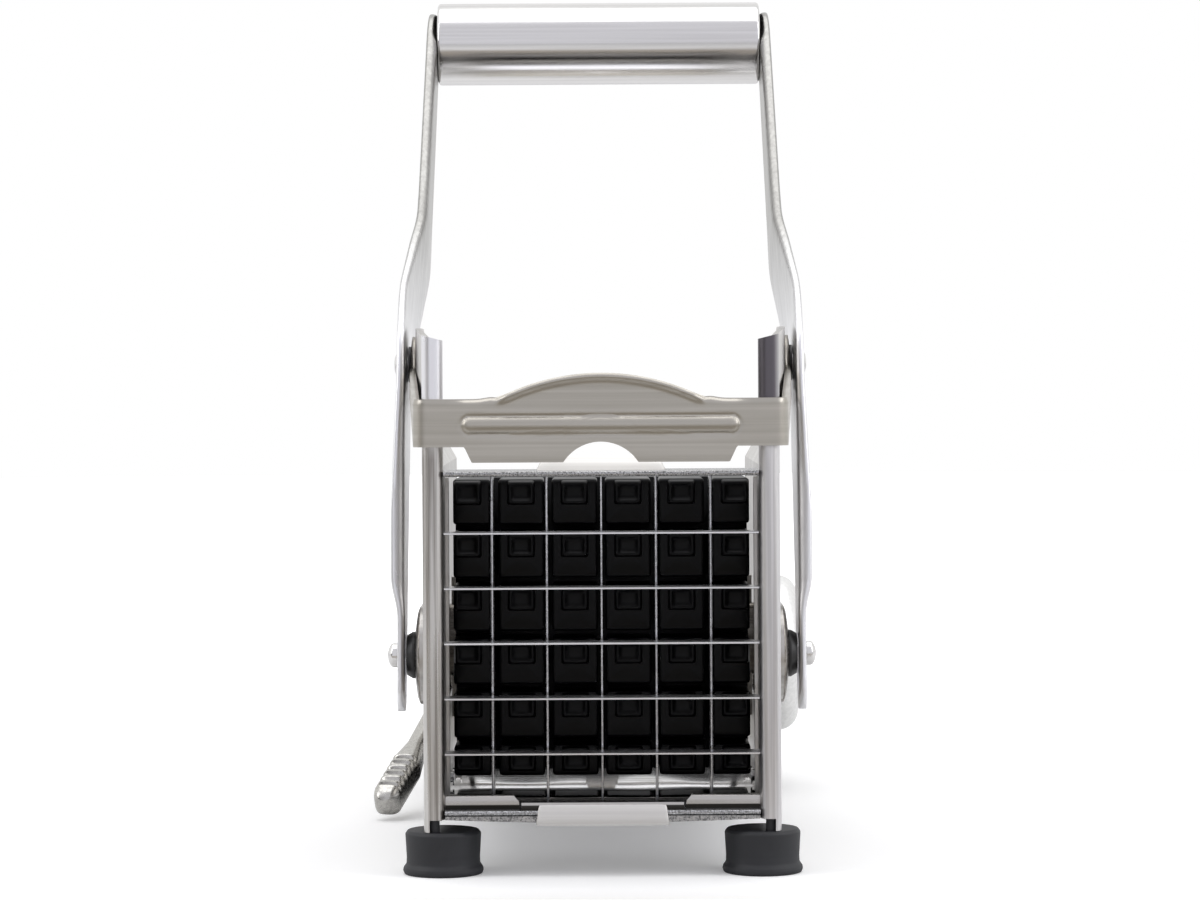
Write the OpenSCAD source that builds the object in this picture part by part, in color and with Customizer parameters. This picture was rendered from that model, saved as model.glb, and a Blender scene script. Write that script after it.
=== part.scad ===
// French fry cutter: a hand lever pushes a potato through a square grid of blades.
// X runs to the right, Y away from the front, Z up. The origin is the centre of the suction
// pad's face on the table. Lengths are millimetres. Inside the modules, Y is counted from the
// front face of the side plates, and in_frame() moves the finished piece back to the origin.

/* [Blade grid] */
// Distance between neighbouring blades, which is the width of one chip
cell_pitch = 12.7; // [11.5:0.1:13]
// Number of blades in each direction
blade_count = 5; // [3:2:5]
// Thickness of a blade
blade_t = 0.6; // [0.4:0.1:1]
// Width of a blade strip, front to back
blade_w = 7; // [5:0.5:7.5]
// Distance between the horizontal blades and the vertical ones behind them
blade_set_gap = 3.5; // [2:0.5:4]
// Height of the grid's centre above the table
grid_z = 53.5; // [52:0.1:55]

/* [Blade cassette] */
// Height of the cassette's underside
cassette_z = 14.1; // [13.8:0.1:14.6]
// Height of the cassette, outside
cassette_h = 79.1; // [78:0.1:80]
// Depth of the cassette, front to back
cassette_d = 20; // [19.5:0.1:21]
// Sheet of the cassette
cassette_t = 1.2; // [0.8:0.1:1.6]
// Width of the tab on top of the cassette
tab_w = 30; // [20:1:40]
// Height of the tab on top of the cassette
tab_h = 3.4; // [2:0.1:3.8]

/* [Side plates] */
// Inside width of the chute
chute_w = 74.2; // [73:0.1:76]
// Sheet of the side plates
sheet_t = 1.2; // [0.8:0.1:1.6]
// Length of the side plates
plate_len = 234; // [225:1:260]
// Height of the plates' lower edge
plate_z = 12.6; // [11:0.1:13]
// Height of the ears at the front
ear_z = 124; // [121:0.5:126]
// Height of the plates at the rear
tail_z = 58; // [52:1:66]
// How far the ears stand outwards of the walls at the pivot
ear_step = 7.6; // [7:0.1:8.2]
// How far the ears stand outwards of the walls at the columns
ear_start = 2.3; // [2:0.1:2.6]
// Slope with which the walls step out to the ears, degrees from upright
joggle_turn = 28; // [24:1:34]
// Diameter of the rolled front columns
column_dia = 4.9; // [4.4:0.1:5.4]
// How far a column reaches into the chute's width
column_lip = 0.8; // [0.5:0.1:1]
// How far the slide track stands outwards of the wall
track_depth = 5.1; // [4.6:0.1:5.6]

/* [Floor and base] */
// Height of the chute floor's upper face
floor_z = 16.8; // [16.5:0.1:17.4]
// Distance from the front to the centre of the suction pad
pad_reach = 180; // [178:1:186]
// Radius of the suction pad
pad_r = 36; // [30:0.5:37]
// Diameter of the rear tie rod
tie_dia = 6; // [5:0.5:7]
// Height of the rear tie rod
tie_z = 25.6; // [25:0.1:27]
// Distance of the rear tie rod ahead of the suction pad's centre
tie_ahead = 28; // [24:0.5:29]
// Diameter of a rubber foot at the table
foot_dia = 18.6; // [16:0.1:20]
// Height of a rubber foot
foot_h = 10.2; // [9:0.1:10.8]
// Distance of the feet from the middle
foot_x = 37; // [34:0.5:40]

/* [Lever] */
// Distance from the front to the lever's pivot
pivot_y = 84; // [80:0.5:88]
// Height of the lever's pivot
pivot_z = 118; // [117:0.1:119]
// Diameter of the pivot pins
pivot_dia = 5; // [4.5:0.1:6]
// Angle of the lower arm at rest, forward of straight down, degrees
rest_lean = 13.7; // [12:0.1:15]
// Swing from rest until the pusher is at the blades, degrees
swing_front = 16.3; // [10:0.1:16.5]
// Swing from rest until the pusher is right back, degrees
swing_back = 43.7; // [30:0.1:44]
// Travel of the pusher for each radian of the lever
push_rate = 77; // [75:0.1:79]
// Angle of the upper arm at rest, back from straight up, degrees
upper_lean = 46.6; // [42:0.1:50]
// Distance from the pivot to the handle's axis
handle_reach = 129.5; // [120:0.5:135]
// Thickness of an arm
arm_t = 1.8; // [1.5:0.1:2.2]
// How far an arm's pressed rim stands outwards
arm_rim = 1.5; // [1:0.1:2]
// How far the upper arms are set inwards of the lower ones
arm_step = 4; // [3:0.1:4.5]
// Distance from the pivot over which an upper arm bends inwards
arm_bend = 50; // [45:1:60]
// Diameter of the handle tube
handle_dia = 22.6; // [20:0.1:26]
// Wall of the handle tube
handle_wall = 1.2; // [0.8:0.1:2]

/* [Gate] */
// Sheet of the blade gate
gate_t = 1.3; // [1:0.1:1.5]
// Height of the gate's lower edge
gate_z = 95; // [94.4:0.1:95.6]
// Height from the gate's lower edge to its shoulders
gate_h = 14.8; // [14:0.1:16]
// Rise of the gate's arch above its shoulders
arch_h = 5.5; // [4:0.1:7]
// Width of the gate's arch
arch_w = 48; // [40:1:54]
// Outer radius of the gate's bent corners
gate_bend_r = 3.6; // [2.6:0.1:3.8]

/* [Pusher] */
// Height of the pusher block's underside
block_z = 20; // [19:0.1:22]
// Height of the pusher block's top
block_top = 90.5; // [88:0.1:91]
// Clearance between the pusher block and each wall
block_clear = 1.85; // [1.6:0.05:2.4]
// Length of the pegs
peg_len = 17; // [16:0.5:18]
// Gap between pegs, through which the blades pass
peg_gap = 1.8; // [1.4:0.1:2.4]
// Thickness of the block behind the pegs
base_t = 7; // [6:0.5:8]
// Thickness of the pusher bracket
bracket_t = 2; // [1.5:0.1:2.5]
// Height of the pusher shaft
shaft_z = 46.1; // [45.5:0.1:46.6]
// Diameter of the pusher shaft
shaft_dia = 8; // [7:0.1:9]
// Diameter of the shaft's ends, which run in the arms' slots
journal_dia = 3; // [2.6:0.1:3.4]
// Diameter of a dish washer
washer_dia = 24; // [22:0.5:25]
// Depth of a dish washer
washer_depth = 2.2; // [1.8:0.1:2.6]
// Length of a cone spacer
cone_len = 2.3; // [2:0.1:3]

/* [Suction lever] */
// Height of the cam shaft
cam_z = 37.4; // [36.5:0.1:39]
// Diameter of the cam shaft
cam_dia = 8; // [7:0.1:8.5]
// Offset of the cam from its shaft
cam_offset = 2.6; // [2.2:0.1:2.8]
// Radius of the cam
cam_r = 6.5; // [6.2:0.1:7]
// Angle through which the suction lever turns, degrees
cam_swing = 120; // [100:5:120]
// Distance from the cam shaft to the lever's tip
lever_reach = 78; // [60:1:82]
// Downward slope of the suction lever at rest, degrees
lever_dip = 24; // [20:0.5:25]
// Outward splay of the suction lever's front part, degrees
lever_splay = 15; // [8:0.5:18]
// Width of the suction lever's thumb pad
thumb_w = 7; // [5:0.5:9]
// Diameter of the domed cap at the cam shaft's right end
cap_dia = 43; // [34:1:46]

/* [Hidden] */
$fn = 64;

// Clearances
fit = 0.05;          // radial, running fit of a pin in its bore
gap = 0.3;           // between pieces that slide past each other
seat = 0.1;          // between a piece and the groove it sits in

// Finishes
steel = "#c9c6c0";
bright = "#dcdad6";
black = "#1b1b1d";
cast = "#b9b7b1";

// Side plates and what stands beside them, measured outwards from the middle
wall_in = chute_w / 2;
wall_out = wall_in + sheet_t;
ear_in = wall_in + ear_step;
ear_out = ear_in + sheet_t;
column_r = column_dia / 2;
column_in = wall_in - column_lip;
column_x = column_in + column_r;
column_out = column_in + column_dia;
flare_end = pivot_y - 14;            // the ears and wings are parallel from here back
flare_turn = atan((ear_step - ear_start) / (flare_end - column_dia));
gate_in = ear_out + gap;
gate_out = gate_in + gate_t;
gate_front_in = max(column_out, wall_in + ear_start + sheet_t) + 0.7;
gate_front_out = gate_front_in + gate_t;
track_out = wall_out + track_depth;
track_in = track_out - sheet_t;
washer_in = track_out + gap;
washer_out = washer_in + washer_depth;
cone_out = max(washer_out + cone_len, gate_out + 0.7);
arm_in = cone_out + gap;
arm_out = arm_in + arm_t;
arm_top_in = arm_in - arm_step;
head_in = arm_out + gap;
head_t = 2.2;

// Column
column_wall = 1.2;
column_slope = 14;   // fall of the column's top towards the middle, degrees
joggle_z0 = 94;      // height at which the wall starts to step out to the ear
plate_y0 = column_dia - 1;
crest_z = pivot_z + 9;
tail_r = 14;

// Lever and pusher positions at rest
function rad(a) = a * PI / 180;
shaft_y = pivot_y - push_rate * rad(rest_lean);
shaft_front = shaft_y - push_rate * rad(swing_front);
shaft_back = shaft_y + push_rate * rad(swing_back);
drop = pivot_z - shaft_z;
shaft_r = shaft_dia / 2;
journal_r = journal_dia / 2;
bracket_y = shaft_y - 11;            // rear face of the bracket's plate
base_y = bracket_y - bracket_t;      // rear face of the block
peg_y = base_y - base_t;             // root of the pegs
tip_y = peg_y - peg_len;

// Slide track in the side plates
shoe_h = 20;
shoe_half = 13;                      // half the length of a guide shoe
track_z = shaft_z + 2.4;
track_h = shoe_h + 2 * gap;
track_y0 = shaft_front - shoe_half - gap;
track_y1 = shaft_back + shoe_half + gap;
slot_clear = 0.5;                    // spare travel at each end of the slot
guide_clear = 0.2;                   // between the shaft and its slot, above and below

// The arm's slot, measured along the lower arm from the pivot
function slot_miss(a) = (push_rate * rad(a) - drop * tan(a)) * cos(a);
function slot_run(a) = drop * cos(a) + push_rate * rad(a) * sin(a);
swing_ends = [rest_lean + swing_front, rest_lean - swing_back];
swing_steps = [for (i = [0:40]) swing_ends[1] + (swing_ends[0] - swing_ends[1]) * i / 40];
arm_slot_half = journal_r + max([for (a = swing_steps) abs(slot_miss(a))]) + 0.15;
arm_slot_near = min([for (a = swing_steps) slot_run(a)]) - 0.3;
arm_slot_far = max([for (a = swing_steps) slot_run(a)]) + 0.3;
nut_r = arm_slot_half + 0.4;
arm_tip_r = arm_slot_half + 2.6;
arm_tip = arm_slot_far;
arm_hub_r = 17;
handle_end_r = 8.5;
pivot_r = pivot_dia / 2;
handle_r = handle_dia / 2;
handle_y = pivot_y + handle_reach * sin(upper_lean);
handle_z = pivot_z + handle_reach * cos(upper_lean);
rod_r = 2.5;

// Floor and base
tie_y = pad_reach - tie_ahead;
floor_t = 1.2;
floor_y0 = cassette_d + 1.3;
deck_y0 = pad_reach - 42;
deck_y1 = plate_len - 6;
deck_top = floor_z - floor_t;
deck_z = deck_top - floor_t;
flange_z = tie_z - tie_dia / 2 - 1;
rivet_r = 1.5;
rivet_z = (floor_z + flange_z) / 2 + 0.1;
floor_rivets = [36, 82, 128];
deck_rivets = [pad_reach - 14, plate_len - 20];
foot_y = 8;
stud_r = column_r - column_wall - 0.04;
stud_depth = 5;
housing_z = 2.7;
pad_t = 2.4;
boss_r = 11;
boss_z = 8;
socket_z = 3;

// Cam and stem; angles are counted from straight forward towards straight up
stem_r = 5.5;
cam_rest = -cam_swing / 2;
cam_lift = 2 * cam_offset * sin(cam_swing / 2);
cam_ahead = cam_offset * (1 + cos(cam_swing / 2)) / 2;
cam_sway = cam_offset * (1 - cos(cam_swing / 2)) / 2;
window_w = 2 * (cam_r + cam_sway + gap);
window_h = 2 * (cam_r + 0.45);
yoke_wall = 3;
hub_in = wall_out + 1.5 + gap;
hub_out = hub_in + 8;

// Points of a polygon whose corners [x, y, radius] are rounded with arcs
function unit(v) = v / norm(v);
function corner(a, b, c, r, steps) =
    r <= 0 ? [b] :
    let (u = unit(a - b),
         v = unit(c - b),
         half = acos(u * v) / 2,
         middle = b + unit(u + v) * r / sin(half),
         p = b + u * r / tan(half) - middle,
         q = b + v * r / tan(half) - middle,
         start = atan2(p[1], p[0]),
         turn = (atan2(q[1], q[0]) - start + 540) % 360 - 180)
    [for (i = [0:steps]) middle + r * [cos(start + turn * i / steps), sin(start + turn * i / steps)]];
function rounded(pts, steps = 8) =
    let (n = len(pts))
    [for (i = [0:n - 1])
        let (a = pts[(i + n - 1) % n], b = pts[i], c = pts[(i + 1) % n])
        each corner([a[0], a[1]], [b[0], b[1]], [c[0], c[1]], b[2], steps)];

module in_frame() {
    translate([0, -pad_reach, 0]) children();
}

// Child outline in Y and Z, extruded towards +X from x
module slab_x(x, t) {
    translate([x, 0, 0]) rotate([90, 0, 90]) linear_extrude(t) children();
}

// Child outline in X and Z, extruded towards +Y from y
module slab_y(y, t) {
    translate([0, y + t, 0]) rotate([90, 0, 0]) linear_extrude(t) children();
}

// Round bar along X
module bar_x(x0, x1, y, z, r0, r1 = undef) {
    translate([x0, y, z]) rotate([0, 90, 0])
        cylinder(h = x1 - x0, r1 = r0, r2 = is_undef(r1) ? r0 : r1);
}

module both_sides() {
    children();
    mirror([1, 0, 0]) children();
}

// Flat form that joins two discs with their common tangents
module taper(p, r0, q, r1) {
    away = q - p;
    turn = atan2(away[1], away[0]);
    lean = acos((r0 - r1) / norm(away));
    translate(p) circle(r0);
    translate(q) circle(r1);
    polygon([p + r0 * [cos(turn + lean), sin(turn + lean)],
             p + r0 * [cos(turn - lean), sin(turn - lean)],
             q + r1 * [cos(turn - lean), sin(turn - lean)],
             q + r1 * [cos(turn + lean), sin(turn + lean)]]);
}

// Domed head of a rivet or nut, base at x0, towards +X
module dome_x(x0, y, z, r, h) {
    ball = (r * r + h * h) / (2 * h);
    translate([x0, y, z]) rotate([0, 90, 0]) rotate_extrude() intersection() {
        translate([0, h - ball]) circle(ball);
        square([r, h]);
    }
}

// ---- Side plates ----

module plate_outline() {
    polygon(rounded([[plate_y0, plate_z, 0],
                     [plate_y0, ear_z, 0],
                     [pivot_y - 12, crest_z, 20],
                     [pivot_y + 8.5, crest_z, 7],
                     [pivot_y + 12, pivot_z - 14, 6],
                     [shaft_back - 12, tail_z + 15, 26],
                     [pad_reach - 8, tail_z, 20],
                     [plate_len, tail_z, tail_r],
                     [plate_len, plate_z, 8]]));
}

// All that lies inwards of the folded side sheet, moved outwards by grow:
// an upright wall, a slope above joggle_z0 and an ear that flares towards the pivot
module inboard(grow) {
    reach = 60;
    far = plate_len + 20;
    high = crest_z + 20;
    translate([wall_in - reach, -10, 0]) cube([reach + grow, far, high]);
    intersection() {
        translate([wall_in, -10, joggle_z0]) rotate([0, joggle_turn, 0])
            translate([-reach, 0, -high]) cube([reach + grow, far, 2 * high]);
        translate([wall_in + ear_start, column_dia, 0]) rotate([0, 0, -flare_turn])
            translate([-reach, -far, -10]) cube([reach + grow, 3 * far, high + 10]);
        translate([ear_in - reach, -10, 0]) cube([reach + grow, far, high]);
    }
}

module track_outline(grow) {
    r = track_h / 2 + grow;
    translate([track_y0 + track_h / 2, track_z]) circle(r);
    translate([track_y1 - track_h / 2, track_z]) circle(r);
    translate([track_y0 + track_h / 2, track_z - r])
        square([track_y1 - track_y0 - track_h, 2 * r]);
}

module shaft_slot() {
    r = shaft_r + guide_clear;
    y0 = shaft_front - slot_clear;
    y1 = shaft_back + slot_clear;
    bar_x(wall_in - 1, track_out + 1, y0, shaft_z, r);
    bar_x(wall_in - 1, track_out + 1, y1, shaft_z, r);
    slab_x(wall_in - 1, track_out - wall_in + 2)
        translate([y0, shaft_z - r]) square([y1 - y0, 2 * r]);
}

// Rolled front edge; a strip of it reaches down to the foot
module column() {
    low = foot_h + seat;
    tall = ear_z - low + 2;
    difference() {
        translate([column_x, column_r, low]) cylinder(h = tall, r = column_r);
        translate([column_x, column_r, low - 1])
            cylinder(h = tall + 2, r = column_r - column_wall);
        translate([column_x - 10, -1, low - 1])
            cube([10 + column_r - column_wall - 0.2, column_dia + 2, plate_z + 1.5 - low]);
        translate([column_x, column_r, ear_z]) rotate([0, -column_slope, 0])
            translate([-10, -10, 0]) cube([20, 20, 10]);
    }
}

module side_plate() {
    color(steel) in_frame() difference() {
        union() {
            column();
            intersection() {
                slab_x(wall_in - 1, ear_out - wall_in + 2) plate_outline();
                difference() {
                    inboard(sheet_t);
                    inboard(0);
                }
            }
            slab_x(wall_in, track_depth + sheet_t) track_outline(sheet_t);
        }
        slab_x(wall_in - 1, track_in - wall_in + 1) track_outline(0);
        shaft_slot();
        bar_x(ear_in - 1, ear_out + 1, pivot_y, pivot_z, pivot_r);
        bar_x(wall_in - 1, wall_out + 1, tie_y, tie_z, tie_dia / 2 - 1);
        bar_x(wall_in - 1, wall_out + 1, pad_reach, cam_z, cam_dia / 2 + 2.4);
        for (y = concat(floor_rivets, deck_rivets))
            bar_x(wall_in - 1, wall_out + 1, y, rivet_z, rivet_r);
    }
}

module right_side_plate() {
    side_plate();
}

module left_side_plate() {
    mirror([1, 0, 0]) side_plate();
}

// ---- Floor, cross members and base ----

module flanged_sheet(y0, y1, z, rivets) {
    half = wall_in - seat;
    difference() {
        union() {
            translate([-half, y0, z]) cube([2 * half, y1 - y0, floor_t]);
            both_sides() translate([half - floor_t, y0 + 2, z]) cube([floor_t, y1 - y0 - 4, flange_z - z]);
        }
        both_sides() for (y = rivets) bar_x(half - floor_t - 1, half + 1, y, rivet_z, rivet_r);
    }
}

module chute_floor() {
    color(bright) in_frame() flanged_sheet(floor_y0, deck_y0 + 7, deck_top, floor_rivets);
}

module rear_deck() {
    color(steel) in_frame() difference() {
        flanged_sheet(deck_y0, deck_y1, deck_z, []);
        both_sides() for (y = deck_rivets) bar_x(wall_in - 4, wall_in + 1, y, rivet_z, rivet_r);
        translate([0, pad_reach, deck_z - 1]) cylinder(h = floor_t + 2, r = stem_r + 2 * gap);
        both_sides() translate([wall_in - 4, deck_y0 - 1, deck_top])
            cube([5, 10, flange_z]);
        for (a = [45:90:315]) translate([0, pad_reach, deck_z - 1]) rotate(a)
            translate([24, 0, 0]) cylinder(h = floor_t + 2, r = 1.5);
    }
}

// Shelf under the cassette with a curved front lip
module front_cross_member() {
    half = column_in - seat;
    shelf_t = 0.8;
    shelf_z = cassette_z - seat - shelf_t;
    lip_h = 1.6;
    bow_r = 800;
    color(steel) in_frame() {
        translate([-half, 0.2, shelf_z]) cube([2 * half, column_dia + 0.2, shelf_t]);
        translate([-wall_in + seat, column_dia + 0.3, shelf_z])
            cube([2 * (wall_in - seat), cassette_d - column_dia, shelf_t]);
        intersection() {
            translate([-half, 0.2, shelf_z + shelf_t - lip_h]) cube([2 * half, shelf_t, lip_h]);
            translate([0, 1.4, shelf_z + shelf_t - lip_h + bow_r]) rotate([90, 0, 0])
                cylinder(h = 2, r = bow_r, $fn = 720);
        }
    }
}

module rear_tie_rod() {
    r = tie_dia / 2;
    color(steel) in_frame() {
        bar_x(-wall_in + seat, wall_in - seat, tie_y, tie_z, r);
        bar_x(-wall_out - 0.6, wall_out + 0.6, tie_y, tie_z, r - 1.02);
    }
}

module tie_rod_nuts() {
    color(bright) in_frame() both_sides() difference() {
        union() {
            bar_x(wall_out, wall_out + 0.5, tie_y, tie_z, 4.6);
            dome_x(wall_out + 0.5, tie_y, tie_z, 4, 1.2);
        }
        bar_x(wall_out - 1, wall_out + 0.7, tie_y, tie_z, tie_dia / 2 - 1);
    }
}

module frame_rivets() {
    inner = wall_in - seat - floor_t;
    color(bright) in_frame() both_sides() for (y = concat(floor_rivets, deck_rivets)) {
        bar_x(inner - 0.3, wall_out, y, rivet_z, rivet_r - 0.02);
        bar_x(inner - 0.3, inner, y, rivet_z, rivet_r + 0.7);
        dome_x(wall_out, y, rivet_z, rivet_r + 1.1, 1.2);
    }
}

module blade_rails() {
    rail_y = cassette_d + gap;
    color(steel) in_frame() both_sides()
        translate([wall_in - 1.2, rail_y, floor_z + seat])
            cube([1.2, 3, cassette_z + cassette_h - floor_z - seat - 2]);
}

module foot() {
    lip = 1.4;
    top_r = foot_dia / 2 - 0.6;
    color(black) in_frame() translate([foot_x, foot_y, 0]) difference() {
        union() {
            cylinder(h = lip, r = foot_dia / 2);
            translate([0, 0, lip]) cylinder(h = 1.2, r1 = foot_dia / 2, r2 = foot_dia / 2 - 1);
            translate([0, 0, lip + 1.2])
                cylinder(h = foot_h - lip - 2, r1 = foot_dia / 2 - 1, r2 = top_r);
            translate([0, 0, foot_h - 0.8]) cylinder(h = 0.8, r1 = top_r, r2 = top_r - 0.8);
        }
        translate([column_x - foot_x, column_r - foot_y, foot_h - stud_depth])
            cylinder(h = stud_depth + 1, r = stud_r);
    }
}

module right_foot() {
    foot();
}

module left_foot() {
    mirror([1, 0, 0]) foot();
}

// Black studs that hold the feet in the columns' bores
module foot_studs() {
    color(black) in_frame() both_sides() translate([column_x, column_r, foot_h - stud_depth + seat])
        cylinder(h = stud_depth + plate_z + 8 - foot_h, r = stud_r - 0.02);
}

module suction_housing() {
    color(black) in_frame() translate([0, pad_reach, 0]) difference() {
        union() {
            translate([0, 0, housing_z]) cylinder(h = 2, r = pad_r + 1);
            translate([0, 0, housing_z + 2])
                cylinder(h = deck_z - housing_z - 2, r1 = pad_r + 1, r2 = pad_r - 6);
        }
        translate([0, 0, housing_z - 1]) cylinder(h = 3, r = pad_r - 1.2);
        translate([0, 0, housing_z + 1.9])
            cylinder(h = deck_z - housing_z - 3.6, r1 = pad_r - 1.2, r2 = pad_r - 8);
        translate([0, 0, deck_z - 3]) cylinder(h = 4, r = stem_r + 2 * gap);
        for (a = [45:90:315]) rotate(a) translate([24, 0, deck_z - 3]) cylinder(h = 4, r = 1.5);
    }
}

module deck_screws() {
    color(bright) in_frame() translate([0, pad_reach, 0]) for (a = [45:90:315]) rotate(a)
        translate([24, 0, 0]) {
            translate([0, 0, deck_z - 1.6]) cylinder(h = deck_top - deck_z + 1.6, r = 1.5 - 0.02);
            translate([0, 0, deck_top]) cylinder(h = 1.3, r1 = 3, r2 = 2.4);
        }
}

module suction_pad() {
    color(black) in_frame() translate([0, pad_reach, 0]) difference() {
        union() {
            cylinder(h = pad_t, r = pad_r);
            cylinder(h = boss_z, r = boss_r);
            translate([0, 0, pad_t]) cylinder(h = 1.2, r1 = boss_r + 5, r2 = boss_r);
        }
        translate([0, 0, socket_z]) cylinder(h = boss_z, r = stem_r + fit);
    }
}

// ---- Blades ----

module blade_frame() {
    half = wall_in - seat;
    front_half = column_in - seat;
    front_d = column_dia + 0.3;
    top = cassette_z + cassette_h;
    module shelf(z) {
        translate([-front_half, 0, z]) cube([2 * front_half, front_d + 1, cassette_t]);
        translate([-half, front_d, z]) cube([2 * half, cassette_d - front_d, cassette_t]);
    }
    color(bright) in_frame() difference() {
        union() {
            shelf(cassette_z);
            shelf(top - cassette_t);
            both_sides() translate([half - 0.8, front_d, cassette_z])
                cube([0.8, cassette_d - front_d, cassette_h]);
            slab_y(9, 1) polygon([[-tab_w / 2, top - 0.5], [-tab_w / 2, top],
                                  [-tab_w / 2 + 1.8, top + tab_h], [tab_w / 2 - 1.8, top + tab_h],
                                  [tab_w / 2, top], [tab_w / 2, top - 0.5]]);
            translate([-19, 1.6, cassette_z]) cube([38, cassette_d - 1.6, floor_z - cassette_z]);
            slab_y(-1, 1.1) polygon([[-tab_w / 2 + 0.6, cassette_z + cassette_t],
                                     [-tab_w / 2 - 0.6, cassette_z - 2.2],
                                     [tab_w / 2 + 0.6, cassette_z - 2.2],
                                     [tab_w / 2 - 0.6, cassette_z + cassette_t]]);
        }
        for (i = blade_rows) {
            translate([-half - 1, blade_front, grid_z + i * cell_pitch - blade_t / 2])
                cube([2 * half + 2, blade_w, blade_t]);
            translate([i * cell_pitch - blade_t / 2, blade_back, cassette_z - 1])
                cube([blade_t, blade_w, cassette_h + 2]);
        }
    }
}

blade_rows = [for (i = [0:blade_count - 1]) i - (blade_count - 1) / 2];
blade_front = 1.2;
blade_back = blade_front + blade_w + blade_set_gap;

module horizontal_blades() {
    half = column_in - seat;
    rear_half = wall_in - seat;
    front_d = column_dia + 0.3;
    color(bright) in_frame() for (i = blade_rows)
        translate([0, 0, grid_z + i * cell_pitch - blade_t / 2]) {
            translate([-half, blade_front, 0]) cube([2 * half, blade_w, blade_t]);
            translate([-rear_half, front_d, 0])
                cube([2 * rear_half, blade_front + blade_w - front_d, blade_t]);
        }
}

module vertical_blades() {
    bottom = cassette_z + 0.4;
    color(bright) in_frame() for (i = blade_rows)
        translate([i * cell_pitch - blade_t / 2, blade_back, bottom])
            cube([blade_t, blade_w, cassette_h - 0.8]);
}

// ---- Gate ----

module gate_face() {
    shoulder = gate_z + gate_h;
    side_z = gate_z + 3.7;
    arch_r = (pow(arch_w / 2, 2) + arch_h * arch_h) / (2 * arch_h);
    notch_w = 8.6;
    notch_h = 4.7;
    notch_r = (notch_w * notch_w + notch_h * notch_h) / (2 * notch_h);
    edge = gate_front_out - gate_bend_r;
    difference() {
        union() {
            polygon([[-edge, side_z], [-edge, shoulder], [edge, shoulder], [edge, side_z],
                     [31.3, side_z], [29.6, gate_z], [-29.6, gate_z], [-31.3, side_z]]);
            intersection() {
                translate([0, shoulder + arch_h - arch_r]) circle(arch_r, $fn = 128);
                translate([-arch_w / 2 - 1, shoulder - 1]) square([arch_w + 2, arch_h + 2]);
            }
        }
        translate([0, gate_z + notch_h - notch_r]) circle(notch_r);
    }
}

module blade_gate() {
    face_y = -gap - gate_t;
    shoulder = gate_z + gate_h;
    side_z = gate_z + 3.7;
    arch_r = (pow(arch_w / 2, 2) + arch_h * arch_h) / (2 * arch_h);
    arch_turn = asin(arch_w / 2 / arch_r);
    bead_x = 30;
    bead_z = gate_z + 8.6;
    color(steel) in_frame() difference() {
        union() {
            slab_y(face_y, gate_t) gate_face();
            // raised bead
            translate([0, face_y + 0.5, bead_z]) {
                rotate([0, 90, 0]) cylinder(h = 2 * bead_x, r = 1.6, center = true);
                translate([bead_x, 0, 0]) sphere(1.6);
                translate([-bead_x, 0, 0]) sphere(1.6);
            }
            // rolled lip on the arch
            translate([0, face_y + 0.2, shoulder + arch_h - arch_r]) rotate([90, 0, 0])
                rotate([0, 0, 92 - arch_turn]) rotate_extrude(angle = 2 * arch_turn - 4, $fn = 128)
                    translate([arch_r - 0.7, 0]) circle(0.9, $fn = 24);
            both_sides() {
                translate([gate_front_out - gate_bend_r, face_y + gate_bend_r, side_z])
                    rotate([0, 0, -90]) rotate_extrude(angle = 90)
                        translate([gate_bend_r - gate_t, 0]) square([gate_t, shoulder - side_z]);
                intersection() {
                    slab_x(gate_front_in - 1, gate_out - gate_front_in + 2)
                        gate_wing(face_y + gate_bend_r, side_z, shoulder);
                    difference() {
                        gate_inboard(gate_t);
                        gate_inboard(0);
                    }
                }
            }
        }
        translate([-50, face_y + gate_t, gate_z]) cube([100, 2.2, 12]);
        both_sides() bar_x(gate_in - 1, gate_out + 1, pivot_y, pivot_z, pivot_r + fit);
    }
}

// One wing's outline, from the bent corner back to its eye on the pivot
module gate_wing(y0, z0, z1) {
    eye = pivot_r + 4.5;
    polygon([[y0, z0], [y0, z1], [pivot_y - eye + 1, pivot_z - 1], [pivot_y, pivot_z],
             [pivot_y - 1, pivot_z - eye + 0.1]]);
    translate([pivot_y, pivot_z]) circle(eye);
}

// All that lies inwards of the wings, which spread from the bent corner to the pivot
module gate_inboard(grow) {
    reach = 60;
    start_y = gate_bend_r - gap - gate_t;
    spread = atan((gate_in - gate_front_in) / (flare_end - start_y));
    intersection() {
        translate([gate_front_in + grow, start_y, 0]) rotate([0, 0, -spread])
            translate([-reach, -60, 0]) cube([reach, 300, crest_z + 20]);
        translate([gate_in + grow - reach, -60, 0]) cube([reach, 300, crest_z + 20]);
    }
}

module pivot_pins() {
    color(bright) in_frame() both_sides() {
        bar_x(ear_in, head_in + 0.5, pivot_y, pivot_z, pivot_r - 0.01);
        bar_x(ear_in - 1.2, ear_in, pivot_y, pivot_z, pivot_r + 1.8);
        dome_x(head_in, pivot_y, pivot_z, pivot_r + 0.6, 1.4);
    }
}

module pivot_spacers() {
    color(black) in_frame() both_sides() difference() {
        bar_x(gate_out + 0.2, arm_in - 0.2, pivot_y, pivot_z, pivot_r + 2);
        bar_x(gate_out, arm_in, pivot_y, pivot_z, pivot_r);
    }
}

// ---- Lever ----

function along(angle, r) = [pivot_y, pivot_z] + r * [sin(angle), cos(angle)];
lower_turn = 180 + rest_lean;        // direction of the lower arm, from straight up to the back

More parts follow.
